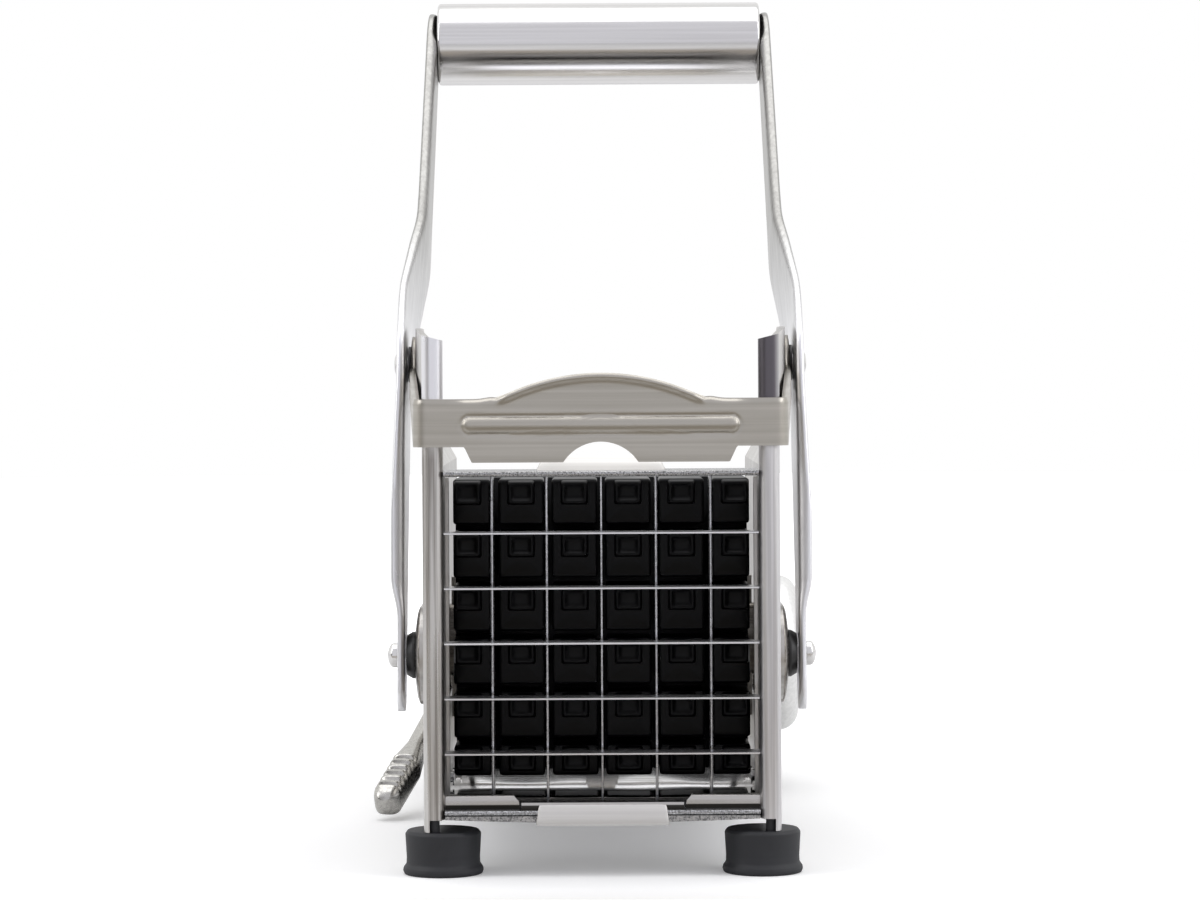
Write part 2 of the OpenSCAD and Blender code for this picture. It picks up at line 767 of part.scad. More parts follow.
module arm_outline(inset) {
    tip = along(lower_turn, arm_tip);
    knee = along(lower_turn, 34);
    waist = along(upper_lean, 58);
    taper(tip, arm_tip_r - inset, knee, 12.5 - inset);
    taper(knee, 12.5 - inset, [pivot_y, pivot_z], arm_hub_r - inset);
    taper([pivot_y, pivot_z], arm_hub_r - inset, waist, 10 - inset);
    taper(waist, 10 - inset, [handle_y, handle_z], handle_end_r - inset);
}

// Pressed rim along the arm's edges, left out at the slot
module arm_rim_outline() {
    difference() {
        arm_outline(0);
        arm_outline(1.6);
        translate(along(lower_turn, 60 + 30)) circle(30);
    }
}

// The rim fades out towards the pivot, where the arm is flat
module arm_rim_limit() {
    reach = 80;
    flat_out = arm_out - 0.02;
    fade = [4, 42];
    translate([flat_out - reach, 0, 0]) cube([reach, 300, 300]);
    intersection() {
        translate([arm_out + arm_rim - reach, 0, 0]) cube([reach, 300, pivot_z]);
        translate([flat_out, 0, pivot_z - fade[0]])
            rotate([0, atan(arm_rim / (fade[1] - fade[0])), 0])
                translate([-reach, 0, -200]) cube([reach, 300, 300]);
    }
}

// All that lies inwards of the arm, whose upper part is set inwards, moved outwards by grow
module arm_inboard(grow) {
    reach = 80;
    start = 10;
    turn = atan(arm_step / (arm_bend - start));
    translate([arm_top_in - reach, 0, 0]) cube([reach + grow, 300, 300]);
    intersection() {
        translate([arm_in - reach, 0, 0]) cube([reach + grow, 300, 300]);
        translate([0, pivot_y, pivot_z]) rotate([-upper_lean, 0, 0])
            translate([arm_in, 0, start]) rotate([0, -turn, 0])
                translate([-reach, -200, -200]) cube([reach + grow, 400, 400]);
    }
}

module lever_arm() {
    slot_ends = [arm_slot_near - arm_slot_half, arm_slot_far + arm_slot_half];
    slot_round = arm_slot_half - 0.05;
    color(steel) in_frame() difference() {
        union() {
            intersection() {
                slab_x(arm_top_in - 1, arm_out - arm_top_in + 2) arm_outline(0);
                difference() {
                    arm_inboard(arm_t);
                    arm_inboard(0);
                }
            }
            intersection() {
                slab_x(arm_top_in - 1, arm_out + arm_rim - arm_top_in + 2) arm_rim_outline();
                difference() {
                    arm_inboard(arm_t + arm_rim);
                    arm_inboard(arm_t / 2);
                }
                arm_rim_limit();
            }
        }
        bar_x(arm_in - 1, arm_out + 1, pivot_y, pivot_z, pivot_r + fit);
        slab_x(arm_in - 1, arm_t + 2) translate([pivot_y, pivot_z]) rotate(90 - lower_turn)
            polygon(rounded([[slot_ends[0], -arm_slot_half, slot_round],
                             [slot_ends[0], arm_slot_half, slot_round],
                             [slot_ends[1], arm_slot_half, slot_round],
                             [slot_ends[1], -arm_slot_half, slot_round]], 12));
        bar_x(arm_top_in - 4, arm_out + 8, handle_y, handle_z, rod_r);
    }
}

module right_lever_arm() {
    lever_arm();
}

module left_lever_arm() {
    mirror([1, 0, 0]) lever_arm();
}

module handle_tube() {
    color(bright) in_frame() difference() {
        bar_x(-arm_top_in, arm_top_in, handle_y, handle_z, handle_r);
        bar_x(-arm_top_in - 1, arm_top_in + 1, handle_y, handle_z, handle_r - handle_wall);
    }
}

// Rod through the handle, riveted over into domed heads outside the arms
module handle_rod() {
    end_x = arm_top_in + arm_t;
    color(bright) in_frame() {
        bar_x(-end_x, end_x, handle_y, handle_z, rod_r - 0.02);
        both_sides() dome_x(end_x, handle_y, handle_z, 4.2, 1.4);
    }
}

// ---- Pusher ----

// Low and high edge of each row or column of pegs, between the block's own edges
function peg_bands(lo, hi, middle) =
    let (cuts = [for (i = blade_rows) middle + i * cell_pitch],
         n = len(cuts))
    [for (i = [0:n])
        [i == 0 ? lo : cuts[i - 1] + peg_gap / 2, i == n ? hi : cuts[i] - peg_gap / 2]];

module pusher_block() {
    half = wall_in - block_clear;
    bite = 1.8;
    nib = 6;
    nib_drop = 5.2;
    columns = peg_bands(-half, half, 0);
    rows = peg_bands(block_z, block_top, grid_z);
    color(black) in_frame() {
        translate([-half, peg_y, block_z]) cube([2 * half, base_t, block_top - block_z]);
        for (c = columns) for (r = rows) {
            middle = c[0] < -cell_pitch * 2 ? c[1] - 5.45 : c[1] > cell_pitch * 2 ? c[0] + 5.45
                   : (c[0] + c[1]) / 2;
            translate([c[0], tip_y + bite, r[0]])
                cube([c[1] - c[0], peg_len - bite, r[1] - r[0]]);
            difference() {
                translate([middle - nib / 2, tip_y, r[1] - 0.6 - nib_drop])
                    cube([nib, bite, nib_drop]);
                translate([middle - nib / 2 + 1.2, tip_y - 1, r[1] - 0.6 - nib_drop + 1.2])
                    cube([nib - 2.4, 1.7, nib_drop - 2.4]);
            }
        }
    }
}

module pusher_bracket() {
    half = wall_in - 0.5;
    color(steel) in_frame() difference() {
        union() {
            translate([-half, base_y, shaft_z - 14]) cube([2 * half, bracket_t, 34]);
            both_sides() slab_x(half - bracket_t, bracket_t) {
                translate([shaft_y, shaft_z]) circle(9);
                translate([base_y, shaft_z - 9]) square([shaft_y - base_y, 18]);
            }
        }
        both_sides() bar_x(half - bracket_t - 1, half + 1, shaft_y, shaft_z, shaft_r + 0.02);
        for (x = screw_xs) for (z = screw_zs)
            translate([x, base_y - 1, z]) rotate([-90, 0, 0]) cylinder(h = bracket_t + 2, r = 1.8);
    }
}

screw_xs = [-22, 22];
screw_zs = [shaft_z - 9, shaft_z + 15];

module pusher_screws() {
    color(bright) in_frame() for (x = screw_xs) for (z = screw_zs)
        translate([x, bracket_y, z]) rotate([-90, 0, 0]) {
            translate([0, 0, -bracket_t]) cylinder(h = bracket_t, r = 1.78);
            cylinder(h = 2, r1 = 3.6, r2 = 2.8);
        }
}

module guide_shoes() {
    inner = wall_in - 0.5;
    color(steel) in_frame() both_sides() difference() {
        slab_x(inner, track_in - gap - inner) {
            translate([shaft_y - shoe_half + shoe_h / 2, track_z]) circle(shoe_h / 2);
            translate([shaft_y + shoe_half - shoe_h / 2, track_z]) circle(shoe_h / 2);
            translate([shaft_y - shoe_half + shoe_h / 2, track_z - shoe_h / 2])
                square([2 * shoe_half - shoe_h, shoe_h]);
        }
        bar_x(inner - 1, track_in + 1, shaft_y, shaft_z, shaft_r + 0.02);
    }
}

module pusher_shaft() {
    color(bright) in_frame() {
        bar_x(-cone_out, cone_out, shaft_y, shaft_z, shaft_r);
        bar_x(-head_in - 1, head_in + 1, shaft_y, shaft_z, journal_r);
    }
}

// Black cone between the dish washer and the arm
module cone_spacers() {
    color(black) in_frame() both_sides() difference() {
        bar_x(washer_out, cone_out, shaft_y, shaft_z, shaft_r + 1.8, shaft_r + 0.9);
        bar_x(washer_out - 1, cone_out + 1, shaft_y, shaft_z, shaft_r + 0.02);
    }
    color(black) in_frame() both_sides() difference() {
        bar_x(washer_out, washer_out + 0.6, shaft_y, shaft_z, shaft_r + 1.8);
        bar_x(washer_out - 1, cone_out + 1, shaft_y, shaft_z, shaft_r + 0.02);
    }
}

// Pressed dish, its hollow side towards the wall
module dish_washers() {
    thin = 0.8;
    rim = washer_dia / 2;
    flat = shaft_r + 2.4;
    color(steel) in_frame() both_sides() difference() {
        union() {
            bar_x(washer_in, washer_in + 1, shaft_y, shaft_z, rim);
            bar_x(washer_in + 1, washer_out, shaft_y, shaft_z, rim, flat);
        }
        bar_x(washer_in - 1, washer_in + 1 - thin / 3, shaft_y, shaft_z, rim - thin);
        bar_x(washer_in + 1 - thin / 3 - 0.01, washer_out - thin, shaft_y, shaft_z,
              rim - thin, flat);
        bar_x(washer_in - 1, washer_out + 1, shaft_y, shaft_z, shaft_r + 0.02);
    }
}

module shaft_nuts() {
    color(bright) in_frame() both_sides() difference() {
        dome_x(head_in, shaft_y, shaft_z, nut_r, head_t + 0.2);
        bar_x(head_in - 1, head_in + 1, shaft_y, shaft_z, journal_r);
    }
}

// ---- Suction lever, cam and stem ----

module cam_shaft() {
    color(steel) in_frame() {
        bar_x(-hub_out - 0.6, hub_out, pad_reach, cam_z, cam_dia / 2);
        bar_x(-4.5, 4.5, pad_reach - cam_offset * cos(cam_rest),
              cam_z + cam_offset * sin(cam_rest), cam_r);
    }
}

module cam_bushings() {
    color(black) in_frame() both_sides() difference() {
        union() {
            bar_x(wall_in - 1.2, wall_out, pad_reach, cam_z, cam_dia / 2 + 2.35);
            bar_x(wall_out, wall_out + 1.5, pad_reach, cam_z, cam_dia / 2 + 5);
        }
        bar_x(wall_in - 3, wall_out + 3, pad_reach, cam_z, cam_dia / 2 + fit);
    }
}

// Rubber-bonded stem with a window in which the cam turns
module suction_stem() {
    low = cam_z + cam_offset * sin(cam_rest) - window_h / 2;
    color(steel) in_frame() difference() {
        union() {
            translate([0, pad_reach, socket_z + seat]) cylinder(h = low - socket_z, r = stem_r);
            translate([-4, pad_reach - cam_ahead - window_w / 2 - yoke_wall, low - yoke_wall])
                cube([8, window_w + 2 * yoke_wall, window_h + 2 * yoke_wall]);
        }
        translate([-5, pad_reach - cam_ahead - window_w / 2, low]) cube([10, window_w, window_h]);
    }
}

// Cast lever: a hub, a shank that splays outwards, and a thumb pad with ribs across it
module suction_lever() {
    pad_len = 21;
    shank_t = 4;
    hub_r = cam_dia / 2 + 5;
    ribs = 6;
    rib_step = 3;
    tip_r = 3.9;
    knee = 22;
    knee_r = 4.5;
    knee_z = cam_z - knee * tan(lever_dip);
    shank_x = hub_in + shank_t / 2 + 0.2;
    reach = lever_reach - knee - tip_r;
    // beyond the knee, seen from the knee itself
    module splayed() {
        translate([-shank_x, pad_reach - knee, knee_z]) rotate([0, 0, -lever_splay]) children();
    }
    drop_z = (reach - pad_len) * tan(lever_dip);
    pad_top = [-reach + pad_len, -drop_z];
    pad_end = [-reach, tip_r + 1.2 - knee_z];
    slope = atan2(pad_top[1] - pad_end[1], pad_top[0] - pad_end[0]);
    color(cast) in_frame() difference() {
        union() {
            bar_x(-hub_out, -hub_in, pad_reach, cam_z, hub_r);
            slab_x(-shank_x - shank_t / 2, shank_t)
                taper([pad_reach, cam_z], hub_r - 2, [pad_reach - knee, knee_z], knee_r);
            bar_x(-shank_x - shank_t / 2 - 0.6, -shank_x + shank_t / 2 - 0.2,
                  pad_reach - knee, knee_z, knee_r + 0.8);
            splayed() slab_x(-shank_t / 2, shank_t)
                polygon([[0, knee_r - 0.5], [0, 0.5 - knee_r], pad_top - [0, 3.9], pad_top + [0, 3.9]]);
            splayed() slab_x(-thumb_w / 2, thumb_w) taper(pad_top, 4.2, pad_end, tip_r);
            splayed() translate([0, pad_end[0], pad_end[1]]) rotate([slope, 0, 0])
                for (i = [0:ribs - 1])
                    translate([0, 1.5 + i * rib_step, tip_r - 0.1]) rotate([0, 90, 0])
                        cylinder(h = thumb_w, r = 0.9, center = true);
        }
        bar_x(-hub_out - 1, -hub_in + 1, pad_reach, cam_z, cam_dia / 2);
    }
}

// Round cap on the cam shaft's right end
module cam_cap() {
    r = cap_dia / 2;
    soft = 5.2;
    face = hub_out + 6.2;
    color(bright) in_frame() translate([0, pad_reach, cam_z]) rotate([0, 90, 0]) difference() {
        union() {
            translate([0, 0, hub_in + 1.5]) cylinder(h = face - soft - hub_in - 1.5, r = r);
            translate([0, 0, face - soft]) cylinder(h = soft, r = r - soft);
            translate([0, 0, face - soft]) rotate_extrude() translate([r - soft, 0])
                intersection() {
                    circle(soft);
                    square(soft);
                }
            translate([0, 0, hub_in]) cylinder(h = 3, r = cam_dia / 2 + 4);
        }
        translate([0, 0, hub_in - 1]) cylinder(h = hub_out - hub_in + 1, r = cam_dia / 2);
    }
}

left_side_plate();
right_side_plate();
chute_floor();
front_cross_member();
rear_deck();
rear_tie_rod();
tie_rod_nuts();
frame_rivets();
blade_rails();
blade_frame();
horizontal_blades();
vertical_blades();
blade_gate();
pivot_pins();
pivot_spacers();
left_lever_arm();
right_lever_arm();
handle_tube();
handle_rod();
pusher_block();
pusher_bracket();
pusher_screws();
guide_shoes();
pusher_shaft();
cone_spacers();
dish_washers();
shaft_nuts();
left_foot();
right_foot();
foot_studs();
suction_pad();
suction_housing();
deck_screws();
suction_stem();
cam_shaft();
cam_bushings();
suction_lever();
cam_cap();
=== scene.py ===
# %% [markdown]
# # A hand lever french fry cutter
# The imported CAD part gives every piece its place, so the walls, the slots and the hinges are true.
# This script dresses it: pieces whose look comes from soft bends are built anew as surfaces of two
# parameters, and every piece gets a procedural finish. Lengths in the functions are millimetres.
# Depth is counted from the front of the side plates, as in the CAD source.

# %% Start: load the frame
import math

import bpy
import bmesh
import numpy as np
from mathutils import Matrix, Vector


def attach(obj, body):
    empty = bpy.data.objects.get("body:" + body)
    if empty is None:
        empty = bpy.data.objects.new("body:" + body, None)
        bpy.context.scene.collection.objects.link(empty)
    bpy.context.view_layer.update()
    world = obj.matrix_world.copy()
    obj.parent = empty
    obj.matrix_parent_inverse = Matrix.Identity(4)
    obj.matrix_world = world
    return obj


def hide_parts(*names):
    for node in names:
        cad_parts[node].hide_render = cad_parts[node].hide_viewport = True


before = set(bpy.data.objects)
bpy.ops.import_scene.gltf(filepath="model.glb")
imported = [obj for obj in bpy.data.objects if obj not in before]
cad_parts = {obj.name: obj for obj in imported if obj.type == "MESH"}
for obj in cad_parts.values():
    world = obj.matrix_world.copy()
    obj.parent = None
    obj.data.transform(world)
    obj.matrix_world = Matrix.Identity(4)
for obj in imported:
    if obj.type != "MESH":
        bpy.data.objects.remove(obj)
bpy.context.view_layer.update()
MM = 0.001
FRONT_TO_ORIGIN = 180.0   # depth of the row frame's origin behind the front of the side plates
QUARTER, FULL_TURN = math.pi / 2, 2 * math.pi

# %% [markdown]
# ## Helpers: surfaces from whole arrays
# A grid of points P[u, v] becomes a mesh by joining each point with its neighbours. Where a
# direction is closed, the last row is joined with the first. The signed volume tells whether the
# faces point outwards, and if it is negative they are all turned round.

# %% Grids to meshes
def points(*axes):
    """Points P[u, v] = (x, depth, z), or of two axes, from arrays or numbers stretched to one grid."""
    return np.stack(np.broadcast_arrays(*axes), -1)


def grid_quads(rows, columns, closed_rows, closed_columns):
    """Quads of a grid: corner (i, j) with (i+1, j), (i+1, j+1), (i, j+1), modulo where closed."""
    i = np.arange(rows if closed_rows else rows - 1)
    j = np.arange(columns if closed_columns else columns - 1)
    i, j = np.meshgrid(i, j, indexing="ij")
    i2, j2 = (i + 1) % rows, (j + 1) % columns
    return np.stack([i * columns + j, i2 * columns + j, i2 * columns + j2, i * columns + j2],
                    -1).reshape(-1, 4)


def shell(grid, closed_rows=False, closed_columns=True, capped=False):
    """Vertices and faces of a grid P[u, v]; capped closes both ends with a fan round their centre."""
    rows, columns = grid.shape[:2]
    verts = grid.reshape(-1, 3)
    faces = [*grid_quads(rows, columns, closed_rows, closed_columns).tolist()]
    if capped:
        verts = np.vstack([verts, grid[[0, -1]].mean(1)])
        j = np.arange(columns)
        after, last_row, centre = (j + 1) % columns, (rows - 1) * columns, rows * columns
        near = np.stack([np.full(columns, centre), j, after], -1)
        far = np.stack([np.full(columns, centre + 1), last_row + after, last_row + j], -1)
        faces += near.tolist() + far.tolist()
    return verts, faces


def signed_volume(verts, faces):
    """Sum of a.(b x c)/6 over the fan triangles of every face."""
    total = 0.0
    for size in (3, 4):
        f = np.array([x for x in faces if len(x) == size])
        if len(f):
            for k in range(1, size - 1):
                a, b, c = verts[f[:, 0]], verts[f[:, k]], verts[f[:, k + 1]]
                total += np.einsum("ij,ij->i", a, np.cross(b, c)).sum() / 6
    return total


# %% Meshes to pieces
def in_scene(name, data):
    """A new object in the scene."""
    obj = bpy.data.objects.new(name, data)
    bpy.context.scene.collection.objects.link(obj)
    return obj


def piece(name, shells, body, finish, replaced=(), sharp=40, open_sheet=False):
    """One object from shells given in mm and depth; it rides on a body and stands for CAD nodes."""
    verts, faces, start = [], [], 0
    for v, f in shells:
        if not open_sheet and signed_volume(v, f) < 0:
            f = [x[::-1] for x in f]
        verts.append(v)
        faces += [[k + start for k in x] for x in f]
        start += len(v)
    placed = (np.vstack(verts) - [0, FRONT_TO_ORIGIN, 0]) * MM
    mesh = bpy.data.meshes.new(name)
    mesh.from_pydata(placed.tolist(), [], faces)
    merged = bmesh.new()
    merged.from_mesh(mesh)
    bmesh.ops.remove_doubles(merged, verts=merged.verts, dist=2e-6)
    bmesh.ops.dissolve_degenerate(merged, edges=merged.edges, dist=1e-6)
    merged.to_mesh(mesh)
    merged.free()
    mesh.shade_smooth()
    mesh.set_sharp_from_angle(angle=math.radians(sharp))
    obj = in_scene(name, mesh)
    mesh.materials.append(finish)
    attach(obj, body)
    if replaced:
        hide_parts(*replaced)
    print(f"{name}: {len(mesh.vertices)} vertices")
    return obj


def mirrored(shells):
    """The same shells on the left side: x changes sign."""
    return [(v * [-1, 1, 1], f) for v, f in shells]


def both(*shells):
    """Shells and their mirror images."""
    return [*shells] + mirrored(shells)


# %% [markdown]
# ## Rounded profiles
# Turned and pressed parts have no sharp edges. Their profile is a few corners, each with a radius.

# %% Rounded profiles and turned forms
def fillet_line(corners, steps=5):
    """A line through corners (a, b, r), each an arc of radius r tangent to both sides."""
    pts = np.array([c[:2] for c in corners], float)
    out = [pts[:1]]
    for k in range(1, len(pts) - 1):
        r = corners[k][2]
        to_a, to_c = pts[k - 1] - pts[k], pts[k + 1] - pts[k]
        u, w = to_a / np.linalg.norm(to_a), to_c / np.linalg.norm(to_c)
        half = math.acos(np.clip(u @ w, -1, 1)) / 2
        if r <= 0 or half > QUARTER - 1e-3:
            out.append(pts[k:k + 1])
            continue
        middle = pts[k] + (u + w) / np.linalg.norm(u + w) * r / math.sin(half)
        p, q = pts[k] + u * r / math.tan(half) - middle, pts[k] + w * r / math.tan(half) - middle
        a = math.atan2(p[1], p[0])
        turn = (math.atan2(q[1], q[0]) - a + 3 * math.pi) % FULL_TURN - math.pi
        t = a + turn * np.linspace(0, 1, steps + 1)
        out.append(middle + r * points(np.cos(t), np.sin(t)))
    out.append(pts[-1:])
    return np.vstack(out)


def turned(corners, depth, height, sides=64, steps=5, closed=False):
    """A profile of (x, r) turned about the X line at (depth, height): (x, d + r cos v, z + r sin v)."""
    line = fillet_line(corners, steps)
    x, r = line[:, :1], line[:, 1:]
    v = np.linspace(0, FULL_TURN, sides, endpoint=False)
    return shell(points(x, depth + r * np.cos(v), height + r * np.sin(v)), closed_rows=closed)


def turned_upright(corners, x0, depth):
    """A profile of (r, z) turned about the upright line at (x0, depth)."""
    line = fillet_line(corners)
    r, z = line[:, :1], line[:, 1:]
    v = np.linspace(0, FULL_TURN, 72, endpoint=False)
    return shell(points(x0 + r * np.cos(v), depth + r * np.sin(v), z))

# %% [markdown]
# ## Building nodes in a line
# A finish is a net of small nodes. Each helper makes one node in the tree of its socket, takes sockets
# or plain values, and returns what comes out, so that a finish reads as a formula.

# %% Node helpers
def feed(socket, x):
    """Links another socket to this one, or sets it to a plain value."""
    if hasattr(x, "is_linked"):
        socket.id_data.links.new(x, socket)
    else:
        socket.default_value = x


def fed(node, **values):
    """Feeds the inputs of a node by name, _ for a space, and returns its outputs."""
    for label, x in values.items():
        feed(node.inputs[label.replace("_", " ")], x)
    return node.outputs


def beside(kind, source):
    """A new node in the tree of a socket."""
    return source.id_data.nodes.new("ShaderNode" + kind)


def noise(vector, scale, detail=3.0, roughness=0.55):
    """A noise texture on a vector socket."""
    return fed(beside("TexNoise", vector), Vector=vector, Scale=scale, Detail=detail,
               Roughness=roughness)["Fac"]


def remap(value, low, high, to_low=0.0, to_high=1.0):
    """Map Range of a value socket."""
    return fed(beside("MapRange", value), Value=value, From_Min=low, From_Max=high, To_Min=to_low,
               To_Max=to_high)["Result"]


def maths(operation, first, *others, kind="Math"):
    """A Math or VectorMath node; returns its outputs."""
    node = beside(kind, first)
    node.operation = operation
    for socket, x in zip(node.inputs, (first, *others)):
        feed(socket, x)
    return node.outputs


def times(product, *others):
    """Product of value sockets."""
    for other in others:
        product = maths("MULTIPLY", product, other)["Value"]
    return product


def split(vector):
    """The X, Y and Z sockets of a vector."""
    return fed(beside("SeparateXYZ", vector), Vector=vector)


def mix(mask, low, high, kind="RGBA"):
    """A Mix node between two colours or numbers, each a socket or a plain (r, g, b)."""
    node = beside("Mix", mask)
    node.data_type = kind
    low, high = ((*x, 1) if isinstance(x, tuple) else x for x in (low, high))
    return fed(node, Factor=mask, A=low, B=high)["Result"]

# %% [markdown]
# ## Shared effects
# Noise stretched along the brushing of a sheet gives fine lines in tone, roughness and height. A wide
# noise stands for the handling that dulls some spots. Each effect is a node group, so that every
# finish can use it with its own values.

# %% Node groups
def new_group(name, outputs, kind="NodeSocketFloat", **inputs):
    """A group with a Vector input, number inputs with their values, and outputs of one kind."""
    group = bpy.data.node_groups.new(name, "ShaderNodeTree")
    add = group.interface.new_socket
    add("Vector", in_out="INPUT", socket_type="NodeSocketVector")
    for label, value in inputs.items():
        add(label, in_out="INPUT", socket_type="NodeSocketFloat").default_value = value
    for label in outputs:
        add(label, in_out="OUTPUT", socket_type=kind)
    return group, group.nodes.new("NodeGroupInput").outputs, group.nodes.new("NodeGroupOutput")


def brushed_group():
    """Lines along local X of the vector: two stretched noises, as a mask from 0 to 1 and a height."""
    group, start, end = new_group("Brushed lines", ["Lines", "Height"], Fineness=900.0)
    squeezed = maths("MULTIPLY", start["Vector"], (0.012, 1.0, 1.0), kind="VectorMath")["Vector"]
    fine = noise(squeezed, start["Fineness"], 2.0, 0.6)
    wide = noise(squeezed, 110.0, 3.0, 0.6)
    lines = maths("MULTIPLY_ADD", wide, 0.5, remap(fine, 0.3, 0.7, 0.0, 0.5))["Value"]
    fed(end, Lines=lines, Height=fine)
    return group


def handling_group():
    """Wide soft patches from 0 to 1, for dull and rubbed spots."""
    group, start, end = new_group("Handling", ["Patches"], Size=35.0)
    patches = noise(start["Vector"], start["Size"], 4.0, 0.5)
    fed(end, Patches=remap(patches, 0.35, 0.7))
    return group


def pebble_group():
    """Fine grain of moulded plastic and rubber, as a height."""
    group, start, end = new_group("Moulded grain", ["Height", "Patches"], Fineness=2500.0)
    fed(end, Height=noise(start["Vector"], start["Fineness"], 2.0, 0.7),
        Patches=noise(start["Vector"], 60.0, 3.0, 0.5))
    return group


# Rolled front edges, in metres: their streaks and painted reflections fade out over FRONT_Y, and the painted
# highlight changes behind the gate, over GATE_Z. FACET_X divides the roll of the right ear into an inner and
# an outer facet, with a stronger painted dark reflection on the inner one.
FRONT_Y, GATE_Z, FACET_X = (-0.1745, -0.1715), (0.098, 0.104), (0.0400, 0.0412)
LEFT_HIGHLIGHT, RIGHT_HIGHLIGHT = (0.05, 0.80), (0.45, 0.45)   # below and above the gate
INNER_DARK_REFLECTION, OUTER_DARK_REFLECTION = 0.90, 0.30


def rolled_group():
    """Drawing streaks, a painted highlight and a painted dark reflection as masks; the last two are painted
    reflections of a room.
    """
    group, start, end = new_group("Rolled edge marks", ["Marks", "Polish", "Film"])
    x, y, z = split(start["Vector"])
    front = remap(y, *FRONT_Y, 1.0, 0.0)
    right = remap(x, -0.01, 0.01)
    above = remap(z, *GATE_Z)
    levels = [remap(right, 0.0, 1.0, *sides) for sides in zip(LEFT_HIGHLIGHT, RIGHT_HIGHLIGHT)]
    facets = remap(x, *FACET_X, INNER_DARK_REFLECTION, OUTER_DARK_REFLECTION)
    drawn = maths("MULTIPLY", start["Vector"], (1.0, 0.25, 0.012), kind="VectorMath")["Vector"]
    streaks = remap(noise(drawn, 1000.0, 3.0, 0.6), 0.42, 0.60, 0.0, 0.75)
    fed(end, Polish=times(front, mix(above, *levels, kind="FLOAT")),
        Film=times(front, right, above, facets),
        Marks=times(front, remap(z, 0.096, 0.102, 1.0, 0.1), streaks))
    return group


def wrap_group():
    """For sheet folded round the front: X of the result is the run along the strip, |X| + Y."""
    group, start, end = new_group("Along the strip", ["Run"], "NodeSocketVector")
    x, y, z = split(start["Vector"])
    run = maths("ADD", maths("ABSOLUTE", x)["Value"], y)["Value"]
    fed(end, Run=fed(beside("CombineXYZ", x), X=run, Z=z)["Vector"])
    return group


def shaded_group():
    """A painted dark reflection on the chute floor ahead of about Y = -0.146 m, with a wavy limit."""
    group, start, end = new_group("Painted floor reflection", ["Front"])
    wave = remap(noise(start["Vector"], 45.0, 1.0), 0.3, 0.7, -0.005, 0.005)
    limit = maths("ADD", wave, split(start["Vector"])["Y"])["Value"]
    fed(end, Front=remap(limit, -0.1460, -0.1445, 1.0, 0.0))
    return group


BRUSHED, HANDLING, PEBBLE = brushed_group(), handling_group(), pebble_group()
ROLLED, WRAP, SHADED = rolled_group(), wrap_group(), shaded_group()
print("node groups:", [group.name for group in bpy.data.node_groups])

# %% [markdown]
# ## Finishes
# Bare steel is a full metal whose tone and roughness follow the brushed lines. Cast and ground steel
# have a speckle without direction, and black plastic and rubber are nearly flat colour with a grain.
# So there is one function for each family, and each finish is a call with its own tones.

# %% Families of finishes
# The second and third tones are a painted highlight and a painted dark reflection on the rolled edges.
DRAWN_TONE, HIGHLIGHT_TONE, DARK_REFLECTION_TONE = (0.16, 0.14, 0.12), (0.90, 0.90, 0.94), (0.07, 0.06, 0.075)


def material_base(name, turn=(0, 0, 0), squash=(1, 1, 1)):
    """A material, its Principled shader, Object coordinates through Mapping, and plain ones."""
    material = bpy.data.materials.new(name)
    material.use_nodes = True
    tree = material.node_tree
    place = tree.nodes.new("ShaderNodeTexCoord").outputs["Object"]
    turned_place = fed(tree.nodes.new("ShaderNodeMapping"), Vector=place, Scale=squash,
                       Rotation=[math.radians(a) for a in turn])["Vector"]
    return material, tree.nodes["Principled BSDF"], turned_place, place


def use_group(group, vector, **values):
    """The outputs of a group node fed with a vector."""
    node = beside("Group", vector)
    node.node_tree = group
    return fed(node, Vector=vector, **values)


def dress(shader, height=None, depth=0.0, **inputs):
    """Feeds the inputs of a shader; a height becomes a bump of a depth in metres."""
    fed(shader, **inputs)
    if height is not None:
        bump = fed(beside("Bump", height), Distance=depth, Strength=1.0, Height=height)
        fed(shader, Normal=bump["Normal"])


def metal(name, dark, light, rough, turn=(0, 0, 0), fineness=900.0, depth=4e-6, patch=0.06,
          rolled=False, above=None, wrap=False, front=None, squash=(1, 1, 1)):
    """Brushed metal: tone and roughness follow the lines, handling adds wide dull patches; above paints a
    second tone higher up, rolled adds painted reflections on rolled edges, front paints a dark reflection.
    """
    material, shader, vector, place = material_base(name, turn, squash)
    if wrap:
        vector = use_group(WRAP, place)["Run"]
    brushed = use_group(BRUSHED, vector, Fineness=fineness)
    lines = brushed["Lines"]
    tone = mix(lines, dark, light)
    # A second tone above a height: light and shade painted into one steel.
    if above:
        low, high, painted_shade_dark, painted_shade_light = above
        mask = remap(split(place)["Z"], low, high)
        tone = mix(mask, tone, mix(lines, painted_shade_dark, painted_shade_light))
    # Drawing streaks, then a painted highlight and a painted dark reflection on the rolled front edges.
    if rolled:
        marks_and_painted_reflections = use_group(ROLLED, place)
        for label, colour in (("Marks", DRAWN_TONE), ("Polish", HIGHLIGHT_TONE), ("Film", DARK_REFLECTION_TONE)):
            tone = mix(marks_and_painted_reflections[label], tone, colour)
    # A painted dark reflection across the front of the chute floor.
    if front:
        tone = mix(use_group(SHADED, place)["Front"], tone, front)
    wear = use_group(HANDLING, vector)["Patches"]
    dulled = remap(lines, 0.2, 0.8, rough + 0.05, rough - 0.05)
    dress(shader, brushed["Height"], depth, Base_Color=tone, Metallic=1.0,
          Roughness=maths("MULTIPLY_ADD", wear, patch, dulled)["Value"])
    return material


